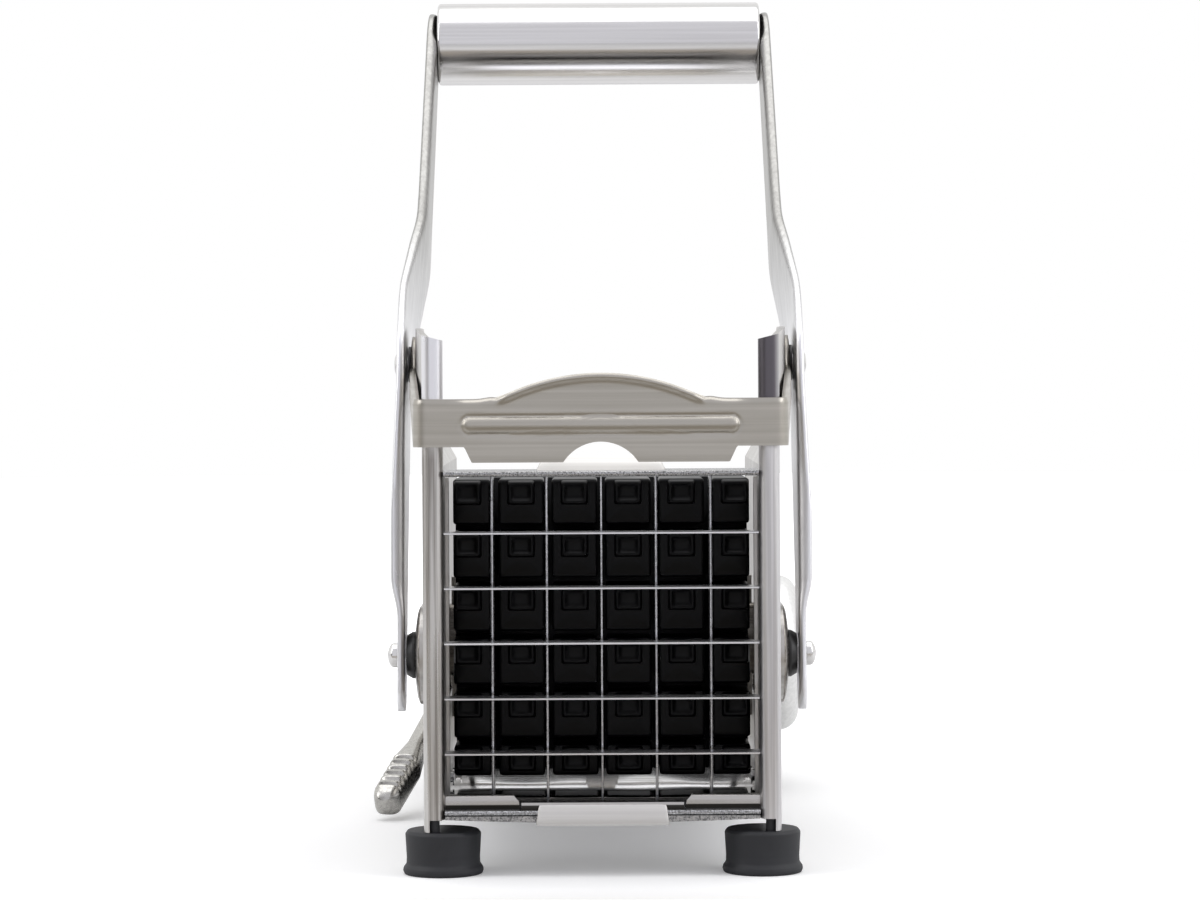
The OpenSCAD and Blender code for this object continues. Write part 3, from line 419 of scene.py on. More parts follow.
def ground(name, dark, light, fineness=2600.0, rough=(0.45, 0.25), depth=1e-5):
    """Steel with a fine ground speckle that has no direction."""
    material, shader, vector, _ = material_base(name)
    height = use_group(PEBBLE, vector, Fineness=fineness)["Height"]
    dress(shader, height, depth, Metallic=1.0, Roughness=remap(height, 0.35, 0.65, *rough),
          Base_Color=mix(remap(height, 0.35, 0.65), dark, light))
    return material


def ridge(name, level):
    """Painted highlight on the top, above a height in metres, and a near-black painted dark reflection on the
    face below it.
    """
    material, shader, vector, _ = material_base(name)
    mask = remap(split(vector)["Z"], level - 0.0002, level)
    face = mix(use_group(BRUSHED, vector)["Lines"], (0.015, 0.014, 0.013), (0.05, 0.047, 0.043))
    dress(shader, Base_Color=mix(mask, face, (0.50, 0.485, 0.465)), Metallic=1.0, Roughness=0.25)
    return material


def moulded(name, colour, pale, rough, fineness=2500.0, depth=1e-5, shine=0.5):
    """Black plastic or rubber: nearly flat colour with faint dust and a moulded grain."""
    material, shader, vector, _ = material_base(name)
    grain = use_group(PEBBLE, vector, Fineness=fineness)
    dust = grain["Patches"]
    dress(shader, grain["Height"], depth, Specular_IOR_Level=shine,
          Base_Color=mix(remap(dust, 0.35, 0.75), colour, pale),
          Roughness=remap(dust, 0.3, 0.7, rough - 0.06, rough + 0.06))
    return material


# %% [markdown]
# ## The finishes of this cutter
# Such sheet is usually brushed before it is bent, so the lines run with the strip: upright on the
# side plates and arms, round the corners on the gate. Tube, pins and nuts are bright from turning,
# and the floor is polished far more than the rest, since it mirrors the pusher in the photograph.

# %% Finishes, and the CAD nodes that wear them
UPRIGHT = (0, 90, 0)         # brushing runs up and down
# The rolled front edges of the side plates get a painted highlight and a painted dark reflection.
sheet_upright = metal("sheet brushed upright", (0.42, 0.40, 0.38), (0.68, 0.67, 0.65), 0.30, UPRIGHT,
                      rolled=True, squash=(0.05, 1, 1))
sheet_across = metal("sheet brushed across", (0.34, 0.32, 0.285), (0.50, 0.475, 0.435), 0.32)
gate_steel = metal("gate steel", (0.36, 0.34, 0.30), (0.53, 0.505, 0.46), 0.32, wrap=True)
# The arms are painted brighter below and darker above 0.125 to 0.155 m: painted light and shade on one steel.
sheet_arm = metal("sheet of the arms", (0.72, 0.72, 0.73), (0.90, 0.90, 0.92), 0.30, UPRIGHT,
                  above=(0.125, 0.155, (0.28, 0.275, 0.265), (0.44, 0.435, 0.42)))
tube_steel = metal("handle tube steel", (0.60, 0.59, 0.585), (0.78, 0.77, 0.765), 0.16, depth=2e-6)
bright_steel = metal("turned bright steel", (0.60, 0.59, 0.58), (0.80, 0.79, 0.78), 0.20)
blade_steel = metal("blade strip steel", (0.62, 0.62, 0.63), (0.90, 0.90, 0.92), 0.25)
# The front argument paints a dark reflection of the pusher across the front of the floor.
floor_steel = metal("chute floor steel", (0.62, 0.62, 0.64), (0.84, 0.84, 0.87), 0.06, depth=3e-7,
                    patch=0.03, front=(0.05, 0.048, 0.046))
# The dish washers, shoes and flanges are given a dark steel tone: painted shade.
painted_shade_washer_steel = metal("dish washer steel, painted dark", (0.10, 0.088, 0.075), (0.40, 0.375, 0.34), 0.22)
cassette_steel = ground("ground cassette steel", (0.12, 0.12, 0.12), (0.62, 0.62, 0.63))
tab_steel = metal("satin tab", (0.60, 0.585, 0.57), (0.74, 0.73, 0.71), 0.50)
# The ridge carries a painted highlight on its top and a painted dark reflection on its face.
painted_light_edge_steel = ridge("edge with painted highlight and painted dark face", 0.0164)
cast_plate = ground("plated casting", (0.42, 0.41, 0.39), (0.54, 0.53, 0.50), 1200.0, (0.30, 0.22), 2e-6)
cap_satin = ground("satin cap", (0.76, 0.76, 0.75), (0.84, 0.84, 0.83), 900.0, (0.46, 0.38), 1e-6)
block_plastic = moulded("pusher plastic", (0.0015, 0.0015, 0.002), (0.004, 0.004, 0.005), 0.34, shine=0.16)
black_nylon = moulded("black nylon", (0.012, 0.012, 0.013), (0.02, 0.02, 0.02), 0.42)
foot_rubber = moulded("foot rubber", (0.009, 0.0095, 0.012), (0.021, 0.022, 0.026), 0.58, 1500.0, 2e-5)
# The rear tie rod is steel given a near-black tone: a painted dark reflection.
painted_dark_rod = moulded("black coated rod", (0.012, 0.012, 0.012), (0.025, 0.025, 0.025), 0.35)

CAD_FINISH = (
    (sheet_upright, "left_side_plate right_side_plate blade_rails"),
    (floor_steel, "chute_floor"),
    (cassette_steel, "front_cross_member blade_frame"),
    (sheet_across, "rear_deck blade_gate pusher_bracket"),
    (painted_dark_rod, "rear_tie_rod"),
    (bright_steel, "tie_rod_nuts frame_rivets pivot_pins handle_rod pusher_screws pusher_shaft"),
    (bright_steel, "shaft_nuts deck_screws suction_stem cam_shaft"),
    (blade_steel, "horizontal_blades vertical_blades"),
    (black_nylon, "pivot_spacers cone_spacers suction_housing cam_bushings"),
    (sheet_arm, "left_lever_arm right_lever_arm"),
    (tube_steel, "handle_tube"),
    (block_plastic, "pusher_block"),
    (painted_shade_washer_steel, "guide_shoes dish_washers"),
    (foot_rubber, "left_foot right_foot foot_studs suction_pad"),
    (cast_plate, "suction_lever"),
    (cap_satin, "cam_cap"))
for finish, names in CAD_FINISH:
    for node_name in names.split():
        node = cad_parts[node_name]
        node.data.materials.clear()
        node.data.materials.append(finish)

# %% [markdown]
# ## Handle
# The handle is a rolled steel tube whose ends are turned in a little, so they meet the arms without
# a sharp lip. A profile turned about the handle's axis gives exactly that.

# %% Handle tube and the domed ends of its rod
HANDLE = (178.09, 206.98)     # depth and height of the handle's axis
TUBE_HALF, TUBE_R, BORE_R, TURNED_IN = 44.48, 11.3, 11.3 - 1.2, 0.9
ROD_HALF, ROD_R, ROD_HEAD = 46.3, 2.48, (4.2, 1.5)

tube = turned([(0, TUBE_R, 0), (TUBE_HALF - 1.5, TUBE_R, 0), (TUBE_HALF, TUBE_R, TURNED_IN),
               (TUBE_HALF, BORE_R, 0.25), (0, BORE_R, 0), (-TUBE_HALF, BORE_R, 0.25),
               (-TUBE_HALF, TUBE_R, TURNED_IN), (-TUBE_HALF + 1.5, TUBE_R, 0), (-0.01, TUBE_R, 0)],
              *HANDLE, sides=96, closed=True)
piece("rolled_handle", [tube], "lever", tube_steel, ["handle_tube"])


def domed(x0, radius, height, depth, level, foot=0.3):
    """A rivet head: a short foot, then a dome that meets the axis at x0 + height."""
    arc = np.linspace(0, QUARTER, 9)
    corners = [(x0, 0, 0), (x0, radius, 0), (x0 + foot, radius, 0)]
    corners += [(x0 + foot + (height - foot) * math.sin(a), radius * math.cos(a), 0) for a in arc[1:]]
    return turned(corners, depth, level, sides=32)


rod = turned([(-ROD_HALF, 0, 0), (-ROD_HALF, ROD_R, 0), (ROD_HALF, ROD_R, 0), (ROD_HALF, 0, 0)],
             *HANDLE, sides=32)
piece("handle_rod_domed", [rod] + both(domed(ROD_HALF, *ROD_HEAD, *HANDLE)), "lever", bright_steel,
      ["handle_rod"])

# %% [markdown]
# ## Lines to follow
# The arms, the gate, the grips and the suction lever are sections carried along a line. They share
# the distance along it, its directions, and the places at which a section stands.

# %% Helpers for sections along a line
def run_along(line):
    """Length of a line of points up to each point."""
    return np.concatenate([[0], np.cumsum(np.linalg.norm(np.diff(line, axis=0), axis=1))])


def units(vectors):
    """Rows divided by their length."""
    return vectors / np.linalg.norm(vectors, axis=1)[:, None]


def aside(vectors):
    """Rows (a, b) turned a quarter to (-b, a)."""
    return vectors[:, ::-1] * [-1, 1]


def in_order(*runs, digits=3):
    """Parameter values of several runs, sorted and without doubles."""
    return np.unique(np.round(np.concatenate(runs), digits))


def blunt(values, power):
    """sign(t) |t|^power: turns the sine and cosine of a circle into those of a rounded square."""
    return np.sign(values) * np.abs(values) ** power


def smooth(values, width):
    """Moving average with a Hann window, ends held, so that lines between stations become curves."""
    window = np.hanning(2 * width + 3)[1:-1]
    padded = np.concatenate([np.full(width, values[0]), values, np.full(width, values[-1])])
    return np.convolve(padded, window / window.sum(), "valid")

# %% [markdown]
# ## Lever arms
# Each arm is one pressed blank: flat round the pivot and at the slot, with a raised rim along its
# edges, and set inwards above the pivot. The section is a closed ring of points round a shallow
# channel, and it is carried along the arm while its width, rim and place change smoothly. The slot is
# cut afterwards with a Boolean modifier, because a hole has no place in a grid.

# %% Lever arms
PIVOT = np.array([84.0, 118.0])                            # depth and height
LOWER, UPPER = math.radians(193.7), math.radians(46.6)     # directions of both halves, from upright
UPPER_REACH, BEND_R, RIM_BEND = 129.5, 34.0, 2.6
ARM_SHEET, ARM_IN, ARM_STEP_IN = 1.8, 48.5, 4.0
SLOT_HALF, SLOT_NEAR, SLOT_FAR = 2.684, 71.6, 82.726
TIP_R, KNEE_R, HUB_R, WAIST_R, END_R = 5.28, 12.5, 17.0, 10.0, 8.5


def from_pivot(angle, distance):
    """Point (depth, height) at a distance from the pivot."""
    return PIVOT + distance * np.array([math.sin(angle), math.cos(angle)])


def arm_shell():
    """Stations s along the blank's middle line; ring of a channel section at each (see the text)."""
    low_end, high_end = SLOT_FAR + TIP_R, UPPER_REACH + END_R
    line = fillet_line([(*from_pivot(LOWER, low_end), 0), (*PIVOT, BEND_R),
                        (*from_pivot(UPPER, high_end), 0)], 40)
    run = run_along(line)
    length = run[-1]
    ends = 1 - np.cos(np.linspace(0, QUARTER, 12))
    s = in_order(TIP_R * ends, np.arange(TIP_R, length - END_R, 0.8), length - END_R * ends)
    middle = points(*(np.interp(s, run, axis) for axis in line.T))
    across = aside(units(np.gradient(middle, s, axis=0)))

    even = np.arange(0, length, 0.5)
    hub = low_end - 0.9     # the rounded bend makes the line a little shorter
    width = smooth(np.interp(even, [low_end - SLOT_FAR, low_end - 34, hub, hub + 58, length - END_R],
                             [TIP_R, KNEE_R, HUB_R, WAIST_R, END_R]), 12)
    inner = smooth(np.interp(even, [0, hub + 14, hub + 44, length],
                             [0, 0, -ARM_STEP_IN, -ARM_STEP_IN]), 14)
    rim = smooth(np.interp(even, [0, 24, 30, 48, hub - 8, hub + 12, hub + 34, length - 12, length],
                           [0.1, 0.1, 1.7, 1.8, 0.35, 0.25, 1.0, 1.0, 0.5]), 8)
    w, x_in, h = (np.interp(s, even, a) for a in (width, inner, ARM_SHEET + rim))
    for r, into in ((TIP_R, TIP_R - s), (END_R, s - length + END_R)):   # both ends are round
        w = np.minimum(w, np.sqrt(np.maximum(r ** 2 - into ** 2, 0.01)) + 100 * (into < 0))

    t = ARM_SHEET * 0.82
    bend = np.minimum(np.minimum(RIM_BEND, h - t / 2), 0.8 * w)[:, None]
    w, h, x_in = w[:, None], h[:, None], ARM_IN + x_in[:, None]
    a, b, web = np.linspace(0, QUARTER, 7), np.linspace(0, math.pi, 7), np.linspace(-0.8, 0.8, 9)
    wall = np.minimum(t, 0.7 * w)
    inside_r = np.maximum(bend - t, 0.02)
    inside_h = np.minimum(inside_r, h - ARM_SHEET)
    lip = h - wall / 2 + wall / 2 * np.sin(b)
    u = np.concatenate([-w + bend * (1 - np.cos(a)), (w - bend) * web, w - bend * (1 - np.sin(a)),
                        w - wall / 2 * (1 - np.cos(b)), (w - wall) - inside_r * (1 - np.cos(a)),
                        (w - wall - inside_r) * web[::-1],
                        -(w - wall) + inside_r * (1 - np.cos(a[::-1])),
                        -w + wall / 2 * (1 + np.cos(b))], 1)
    lift = np.concatenate([bend * (1 - np.sin(a)), 0 * w * web, bend * (1 - np.cos(a)), lip,
                           ARM_SHEET + inside_h * (1 - np.sin(a)), ARM_SHEET + 0 * w * web,
                           ARM_SHEET + inside_h * (1 - np.sin(a[::-1])), lip], 1)
    at = middle[:, None, :] + across[:, None, :] * u[..., None]
    return shell(points(x_in + lift, at[..., 0], at[..., 1]), capped=True)


def slot_cutter():
    """A stadium between the slot's ends, carried across the arm."""
    turn = np.linspace(-QUARTER, QUARTER, 25)
    round_end = SLOT_HALF * points(np.cos(turn), np.sin(turn))
    ring = np.vstack([[SLOT_FAR, 0] + round_end, [SLOT_NEAR, 0] - round_end])
    down, over = [math.sin(LOWER), math.cos(LOWER)], [math.cos(LOWER), -math.sin(LOWER)]
    flat = PIVOT + ring[:, :1] * down + ring[:, 1:] * over
    return shell(points([[ARM_IN - 3], [ARM_IN + 8]], *flat.T), capped=True)


def cut_away(obj, cutters):
    """Boolean difference with a temporary object made from shells; the result replaces the mesh."""
    tool = piece("cutter", cutters, "frame", obj.data.materials[0])
    modifier = obj.modifiers.new("cut", "BOOLEAN")
    modifier.operation, modifier.solver, modifier.object = "DIFFERENCE", "EXACT", tool
    made = bpy.data.meshes.new_from_object(obj.evaluated_get(bpy.context.evaluated_depsgraph_get()))
    obj.modifiers.clear()
    obj.data = made
    made.set_sharp_from_angle(angle=math.radians(40))
    bpy.data.objects.remove(tool)


arm = arm_shell()
right_arm = piece("right_pressed_arm", [arm], "lever", sheet_arm, ["right_lever_arm"])
left_arm = piece("left_pressed_arm", mirrored([arm]), "lever", sheet_arm,
                 ["left_lever_arm"])
cut_away(right_arm, [slot_cutter()])
cut_away(left_arm, mirrored([slot_cutter()]))

# %% [markdown]
# ## Turned and pressed round pieces
# The dish washers, the cones, the nuts and the pivot heads are all round about the two axes that the
# arms work on. Each is one profile of (sideways, radius), turned.

# %% Washers, cones, nuts, heads
SHAFT = (65.59, 46.1)         # depth and height of the pusher shaft
WASHER_IN, HEAD_IN, BORE = 43.7, 50.6, 4.05

dish = turned([(WASHER_IN + x, r, bend) for x, r, bend in (
    (2.2, BORE, 0), (2.2, 7.2, 2.0), (1.7, 10.6, 1.5), (1.15, 12.1, 0.4), (0.3, 12.1, 0.35),
    (0, 11.4, 0.3), (0.9, 10.2, 0.6), (1.4, 6.0, 2.0), (1.4, BORE, 0), (2.19, BORE, 0))],
    *SHAFT, closed=True)
piece("pressed_dishes", both(dish), "pusher", painted_shade_washer_steel, ["dish_washers"])

cone = turned([(45.9, BORE, 0), (45.9, 5.8, 0.3), (46.7, 5.8, 0.4), (48.2, 4.9, 0.3), (48.2, BORE, 0),
               (45.91, BORE, 0)], *SHAFT, sides=48, closed=True)
piece("moulded_cones", both(cone), "pusher", black_nylon, ["cone_spacers"])

nut = domed(HEAD_IN, 3.05, 2.4, *SHAFT, foot=0.9)
piece("domed_nuts", both(nut), "pusher", bright_steel, ["shaft_nuts"])

pin_head = domed(HEAD_IN, 3.1, 1.4, *PIVOT)
pin = turned([(43.5, 0, 0), (43.5, 4.3, 0.2), (44.7, 4.3, 0.2), (44.7, 2.49, 0), (51.0, 2.49, 0),
              (51.0, 0, 0)], *PIVOT, sides=32)
piece("riveted_pins", both(pin, pin_head), "frame", bright_steel, ["pivot_pins"])

# %% [markdown]
# ## Feet
# The rubber feet taper down to a waist and then flare to a soft lip. One profile, turned upright.

# %% Rubber feet
def foot_shell(x0):
    """Profile of (radius, height): face, flared lip, waist, shoulder, top."""
    return turned_upright([(0, 0, 0), (9.0, 0, 0.5), (9.35, 0.9, 0.7), (9.2, 1.6, 0.4), (8.55, 2.5, 0.9),
                           (8.5, 4.0, 2.0), (8.8, 9.4, 0.6), (8.2, 10.2, 0.5), (0, 10.2, 0)], x0, 8.0)


piece("right_rubber_foot", [foot_shell(37.0)], "frame", foot_rubber, ["right_foot"])
piece("left_rubber_foot", [foot_shell(-37.0)], "frame", foot_rubber, ["left_foot"])

# %% [markdown]
# ## Blade gate
# The gate is one strip of sheet: it runs from one pivot along a wing, round a soft corner, across the
# front and back again. One parameter follows that strip in plan, and the other climbs from its lower
# edge to its upper edge. The bead and the rolled lip of the arch are raised from the strip along its
# normal. Solidify gives it its thickness.

# %% Blade gate
GATE_SHEET = 1.3
FACE, FACE_HALF, CORNER_R, WING_HALF = -1.6, 43.0, 3.6, 47.5      # plan of the strip
FLARE_END, WING, EYE_R = 70.0, (2.0, 79.0), 7.0                   # depths, and the eye of the pivot
GATE_LOW, GATE_SIDE_LOW, GATE_SHOULDER = 95.3, 98.9, 109.9        # heights of its edges in front
WING_LOW, WING_HIGH, TAB = 111.2, 117.5, (29.6, 31.3)             # and at the eye; where the tab ends
NOTCH_HALF, NOTCH_RISE, ARCH_HALF, ARCH_RISE = 8.6, 4.7, 24.0, 5.9
BEAD_Z, BEAD_END, BEAD_HALF, BEAD_RISE = 103.9, 30.0, 1.9, 0.85


def bow(u, half, rise, level):
    """Circle segment over |u| < half: level + rise - r + sqrt(r^2 - u^2), elsewhere the level."""
    r = (half ** 2 + rise ** 2) / (2 * rise)
    arc = level + rise - r + np.sqrt(np.maximum(r ** 2 - u ** 2, 0))
    return np.where(u < half, np.maximum(arc, level), level)


def gate_edges(u, depth, length):
    """Heights of the lower and the upper edge over the run u of one half."""
    low = np.interp(u, [0, *TAB, length], [GATE_LOW, GATE_LOW, GATE_SIDE_LOW, GATE_SIDE_LOW])
    low = np.maximum(low, bow(u, NOTCH_HALF, NOTCH_RISE, GATE_LOW))
    high = bow(u, ARCH_HALF, ARCH_RISE, GATE_SHOULDER) + 0.45 * np.exp(-((u - 25.0) / 2.2) ** 2) * (u > 20)
    wing, on_wing = np.clip((depth - WING[0]) / (WING[1] - WING[0]), 0, 1), u > FACE_HALF
    low = np.where(on_wing, GATE_SIDE_LOW + (WING_LOW - GATE_SIDE_LOW) * wing, low)
    high = np.where(on_wing, GATE_SHOULDER + (WING_HIGH - GATE_SHOULDER) * wing, high)
    eye_depth, eye_z = PIVOT
    eye = np.sqrt(np.maximum(EYE_R ** 2 - (depth - eye_depth) ** 2, 1.0))
    near_eye, behind = (depth > eye_depth - EYE_R) & on_wing, depth > eye_depth
    high = np.where(near_eye, np.where(behind, eye_z + eye, np.maximum(high, eye_z + eye)), high)
    low = np.where(near_eye, np.where(behind, eye_z - eye, np.minimum(low, eye_z - eye)), low)
    return low, high


def gate_sheet():
    """P(u, v): u is the run along the strip in plan, v from the lower to the upper edge."""
    half_plan = fillet_line([(0, FACE, 0), (FACE_HALF, FACE, CORNER_R), (WING_HALF, FLARE_END, 40.0),
                             (WING_HALF, PIVOT[0] + EYE_R, 0)], 16)
    run = run_along(half_plan)
    length, bend_from, bend_to = run[-1], FACE_HALF - CORNER_R, FACE_HALF + CORNER_R
    u = in_order(np.linspace(0, bend_from, 110), [29.4, 29.9, 31.1, 31.6, 8.5, 8.7],
                 np.linspace(bend_from, bend_to, 28), np.linspace(bend_to, length - 9, 60),
                 length - 9 * (1 - np.sin(np.linspace(0, QUARTER, 16))), digits=4)
    x, depth = (np.interp(u, run, axis) for axis in half_plan.T)
    low, high = gate_edges(u, depth, length)
    u, x, depth, low, high = (np.concatenate([a[:0:-1] * k, a]) for a, k in (
        (u, -1), (x, -1), (depth, 1), (low, 1), (high, 1)))
    v = in_order((1 - np.cos(np.linspace(0, math.pi, 44))) / 2, np.linspace(0.42, 0.76, 40), digits=4)
    z = low[:, None] + (high - low)[:, None] * v
    tangent = units(points(np.gradient(x, u), np.gradient(depth, u)))
    from_middle = np.abs(u)[:, None]
    from_bead = np.hypot(from_middle - np.clip(from_middle, 0, BEAD_END), z - BEAD_Z)
    bead = BEAD_RISE * np.clip(1 - (from_bead / BEAD_HALF) ** 2, 0, 1)
    bead = bead - 0.2 * np.exp(-((from_bead - 2.1) / 0.4) ** 2)
    to_edge = high[:, None] - z
    on_arch = np.clip((24.5 - from_middle) / 3.0, 0, 1)
    lip = 0.8 * on_arch * np.exp(-((to_edge - 0.8) / 0.85) ** 2)
    between = np.clip((35.0 - from_middle) / 4.0, 0, 1)     # inside the columns the roll is deeper
    top_roll = -(0.2 + 0.6 * between) * (1 - on_arch) * np.exp(-(to_edge / 0.7) ** 2)
    raised = bead + lip + top_roll
    return points(x[:, None] + tangent[:, 1:] * raised, depth[:, None] - tangent[:, :1] * raised, z)


gate = piece("pressed_gate", [shell(gate_sheet(), closed_columns=False)], "gate", gate_steel,
             ["blade_gate"], sharp=60, open_sheet=True)
thicken = gate.modifiers.new("sheet", "SOLIDIFY")
thicken.thickness, thicken.offset, thicken.use_even_offset = GATE_SHEET * MM, -1.0, False

# %% [markdown]
# ## Blades and their cassette
# The blades are strips of hard steel, ground to a bevel at the front. They cross in two layers, one
# behind the other, in a frame folded from sheet. The frame has a grip above and a wider one below.
# Both are made as closed bars: a section ring of (depth, height) carried from side to side.

# %% Blades and cassette
CASSETTE_LOW, CASSETTE_HIGH, CASSETTE_SHEET, CASSETTE_BACK = 14.1, 93.2, 1.2, 20.0
FRONT_HALF, WALL_FACE, COLUMN_BACK = 36.25, 37.0, 7.4
CHEEK_IN, CHEEK_LOW, CHEEK_HIGH = 36.65, 15.3, 92.0
STRIP_HALF, BEVEL, LEVEL_LAYER, UPRIGHT_LAYER = 0.25, 0.16, (1.2, 8.2), (11.7, 18.7)
GRID_Z, PITCH = 53.5, 12.7
BLADE_ROWS = PITCH * (np.arange(5) - 2)


def across_bar(section, half, rows=2):
    """Closed bar: P(u, k) = (u half(d_k), d_k, z_k), u from -1 to 1; section is a ring of (d, z)."""
    depth, z = np.asarray(section, float).T
    wide = np.interp(depth, [COLUMN_BACK - 0.01, COLUMN_BACK], half)
    return shell(points(np.linspace(-1, 1, rows)[:, None] * wide, depth, z), capped=True)


def strip_section(front, back, z0):
    """Ring (d, z) of a strip with a ground bevel along its front edge; widens behind the columns."""
    steps = np.array([front, front + BEVEL, COLUMN_BACK - 0.01, COLUMN_BACK, back])
    rise = np.array([STRIP_HALF - BEVEL / 2] + [STRIP_HALF] * 4)[steps <= back]
    steps = steps[steps <= back]
    return np.concatenate([points(steps, z0 - rise), points(steps, z0 + rise)[::-1]])


def upright_blade(x0):
    """The same ring, carried upwards: P(u, k) = (x_k, d_k, z(u)); its flats run ahead to the columns."""
    depth, x = strip_section(*UPRIGHT_LAYER, x0).T
    return shell(points(x, depth, [[14.5], [92.8]]), capped=True)


level_blades = [across_bar(strip_section(*LEVEL_LAYER, GRID_Z + z), (FRONT_HALF, WALL_FACE))
                for z in BLADE_ROWS]
piece("bevelled_level_blades", level_blades, "frame", blade_steel,
      ["horizontal_blades"], sharp=5)
piece("bevelled_upright_blades", [upright_blade(x) for x in BLADE_ROWS], "frame", blade_steel,
      ["vertical_blades"], sharp=5)


def plate_bar(z_low):
    """A plate of the cassette from side to side, its front edge rounded over."""
    r = CASSETTE_SHEET / 2
    a = np.linspace(QUARTER, 3 * QUARTER, 13)
    nose = points(r + r * np.cos(a), z_low + r + r * np.sin(a))
    low = points([COLUMN_BACK - 0.01, COLUMN_BACK, CASSETTE_BACK], z_low)
    section = np.concatenate([nose, low, (low + [0, CASSETTE_SHEET])[::-1]])
    return across_bar(section, (FRONT_HALF, WALL_FACE))


def grip(rows):
    """A bent tab: rows of (half width, depth of its middle, height), 0.9 mm thick, ends rounded."""
    rows = np.asarray(rows, float)
    normal = aside(units(np.gradient(rows[:, 1:], axis=0)))
    a = np.linspace(0, FULL_TURN, 40, endpoint=False)
    x, t = blunt(np.cos(a), 0.15), 0.45 * blunt(np.sin(a), 0.6)
    at = rows[:, None, 1:] + normal[:, None] * t[:, None]
    return shell(points(rows[:, :1] * x, at[..., 0], at[..., 1]), capped=True)


piece("folded_cassette", [plate_bar(CASSETTE_LOW), plate_bar(CASSETTE_HIGH - CASSETTE_SHEET)], "frame",
      cassette_steel, ["blade_frame"])
cheek_ring = np.array([[COLUMN_BACK, CHEEK_LOW], [CASSETTE_BACK, CHEEK_LOW], [CASSETTE_BACK, CHEEK_HIGH],
                       [COLUMN_BACK, CHEEK_HIGH]])
cheek = shell(points([[CHEEK_IN], [WALL_FACE]], *cheek_ring.T), capped=True)
lower_grip = grip([(14.6, 0.35, 16.35), (14.75, 0.05, 15.9), (14.9, -0.2, 15.0), (15.0, -0.4, 14.0),
                   (15.15, -0.52, 13.0), (15.3, -0.5, 12.3), (15.2, -0.35, 12.1)])
upper_grip = grip([(15.0, 8.0, 92.8), (14.9, 8.4, 93.4), (14.2, 9.5, 94.8), (13.4, 10.5, 96.0),
                   (13.2, 10.8, 96.3)])
piece("cassette_grips", [lower_grip, upper_grip] + mirrored([cheek]) + [cheek], "frame", tab_steel)

RIDGE_HALF, RIDGE = 18.7, [(1.6, 15.2), (1.6, 16.6), (1.75, 16.9), (2.0, 17.0), (2.25, 16.9),
                           (2.4, 16.6), (2.4, 15.2)]
LIP = np.array([(3.2, 15.2), (3.2, 17.2), (3.3, 17.8), (3.6, 18.3), (4.1, 18.55), (4.7, 18.6),
                (5.4, 18.5), (5.6, 18.2), (5.6, 15.2)])
# The rounded bar beside the ridge is P(u, k) = (x, d_k, z_k); its inner end slants with the height.
lip_in = 19.0 + np.clip(LIP[:, 1] - 16.8, 0, 1.8)
side_lip = shell(points([lip_in, lip_in * 0 + FRONT_HALF], *LIP.T), capped=True)
piece("cassette_ridge", [across_bar(RIDGE, (RIDGE_HALF, RIDGE_HALF), 3)] + both(side_lip), "frame",
      painted_light_edge_steel)

# %% [markdown]
# ## Chute floor
# The floor is thin polished sheet. It dips a little towards the blades and is never quite flat, and
# that is what bends the reflection of the black pusher. The height is a sum of long, low waves.

# %% Chute floor
FLOOR_Z, FLOOR_HALF, FLOOR_SHEET, SIDE_DROP = 16.8, 37.0, 1.2, 3.6
FLOOR_FRONT, NOSE_R, NOSE_BACK, DIP_BACK, FLOOR_BACK = 21.3, 1.6, 22.9, 44.0, 145.0


def floor_sheet():
    """Closed section of the floor: top z(x, d) = 16.8 - dip(d) + low waves, flanges down at the sides."""
    nose = FLOOR_FRONT + NOSE_R * (1 - np.cos(np.linspace(0, QUARTER, 10)))
    depth = np.concatenate([nose[:-1], np.linspace(NOSE_BACK, FLOOR_BACK, 140)])[:, None]
    half, sheet = FLOOR_HALF, FLOOR_SHEET
    x = np.concatenate([np.full(4, -half), np.linspace(-half + 0.5, half - 0.5, 80), np.full(4, half)])
    side = np.linspace(-SIDE_DROP, -0.4, 4)
    top = np.concatenate([side, np.zeros(80), np.linspace(-0.4, -SIDE_DROP, 4)])
    inner_x = np.clip(x, -half + sheet, half - sheet)[::-1]
    inner = np.where(np.abs(x) > half - sheet, np.minimum(top, -sheet), -sheet)[::-1]
    inner = np.where(np.abs(inner_x) < half - sheet, -sheet, inner)
    dip = 0.9 * np.clip((DIP_BACK - depth) / (DIP_BACK - FLOOR_FRONT), 0, 1) ** 2
    roll = NOSE_R * (1 - np.sqrt(np.clip(1 - ((NOSE_BACK - depth) / NOSE_R) ** 2, 0, 1)))
    dip = dip + roll * (depth < NOSE_BACK)
    waves = 0.05 * np.sin(x / 7.0 + 0.6) * np.cos(depth / 11.0) + 0.04 * np.sin(x / 3.7 + depth / 17.0)
    z_top = FLOOR_Z + top - dip + waves * (np.abs(x) < half - 1)
    z_low = FLOOR_Z + inner - dip
    return shell(points(np.concatenate([x, inner_x]), depth, np.concatenate([z_top, z_low], 1)),
                 capped=True)


piece("waved_chute_floor", [floor_sheet()], "frame", floor_steel, ["chute_floor"])

# %% [markdown]
# ## Pusher block
# The moulded block has a peg for each chip, with softly rounded edges. On the upper part of every peg
# a small square nib stands out, with a dished middle. Both are the same idea: a rounded square whose
# size and place change from one ring to the next.

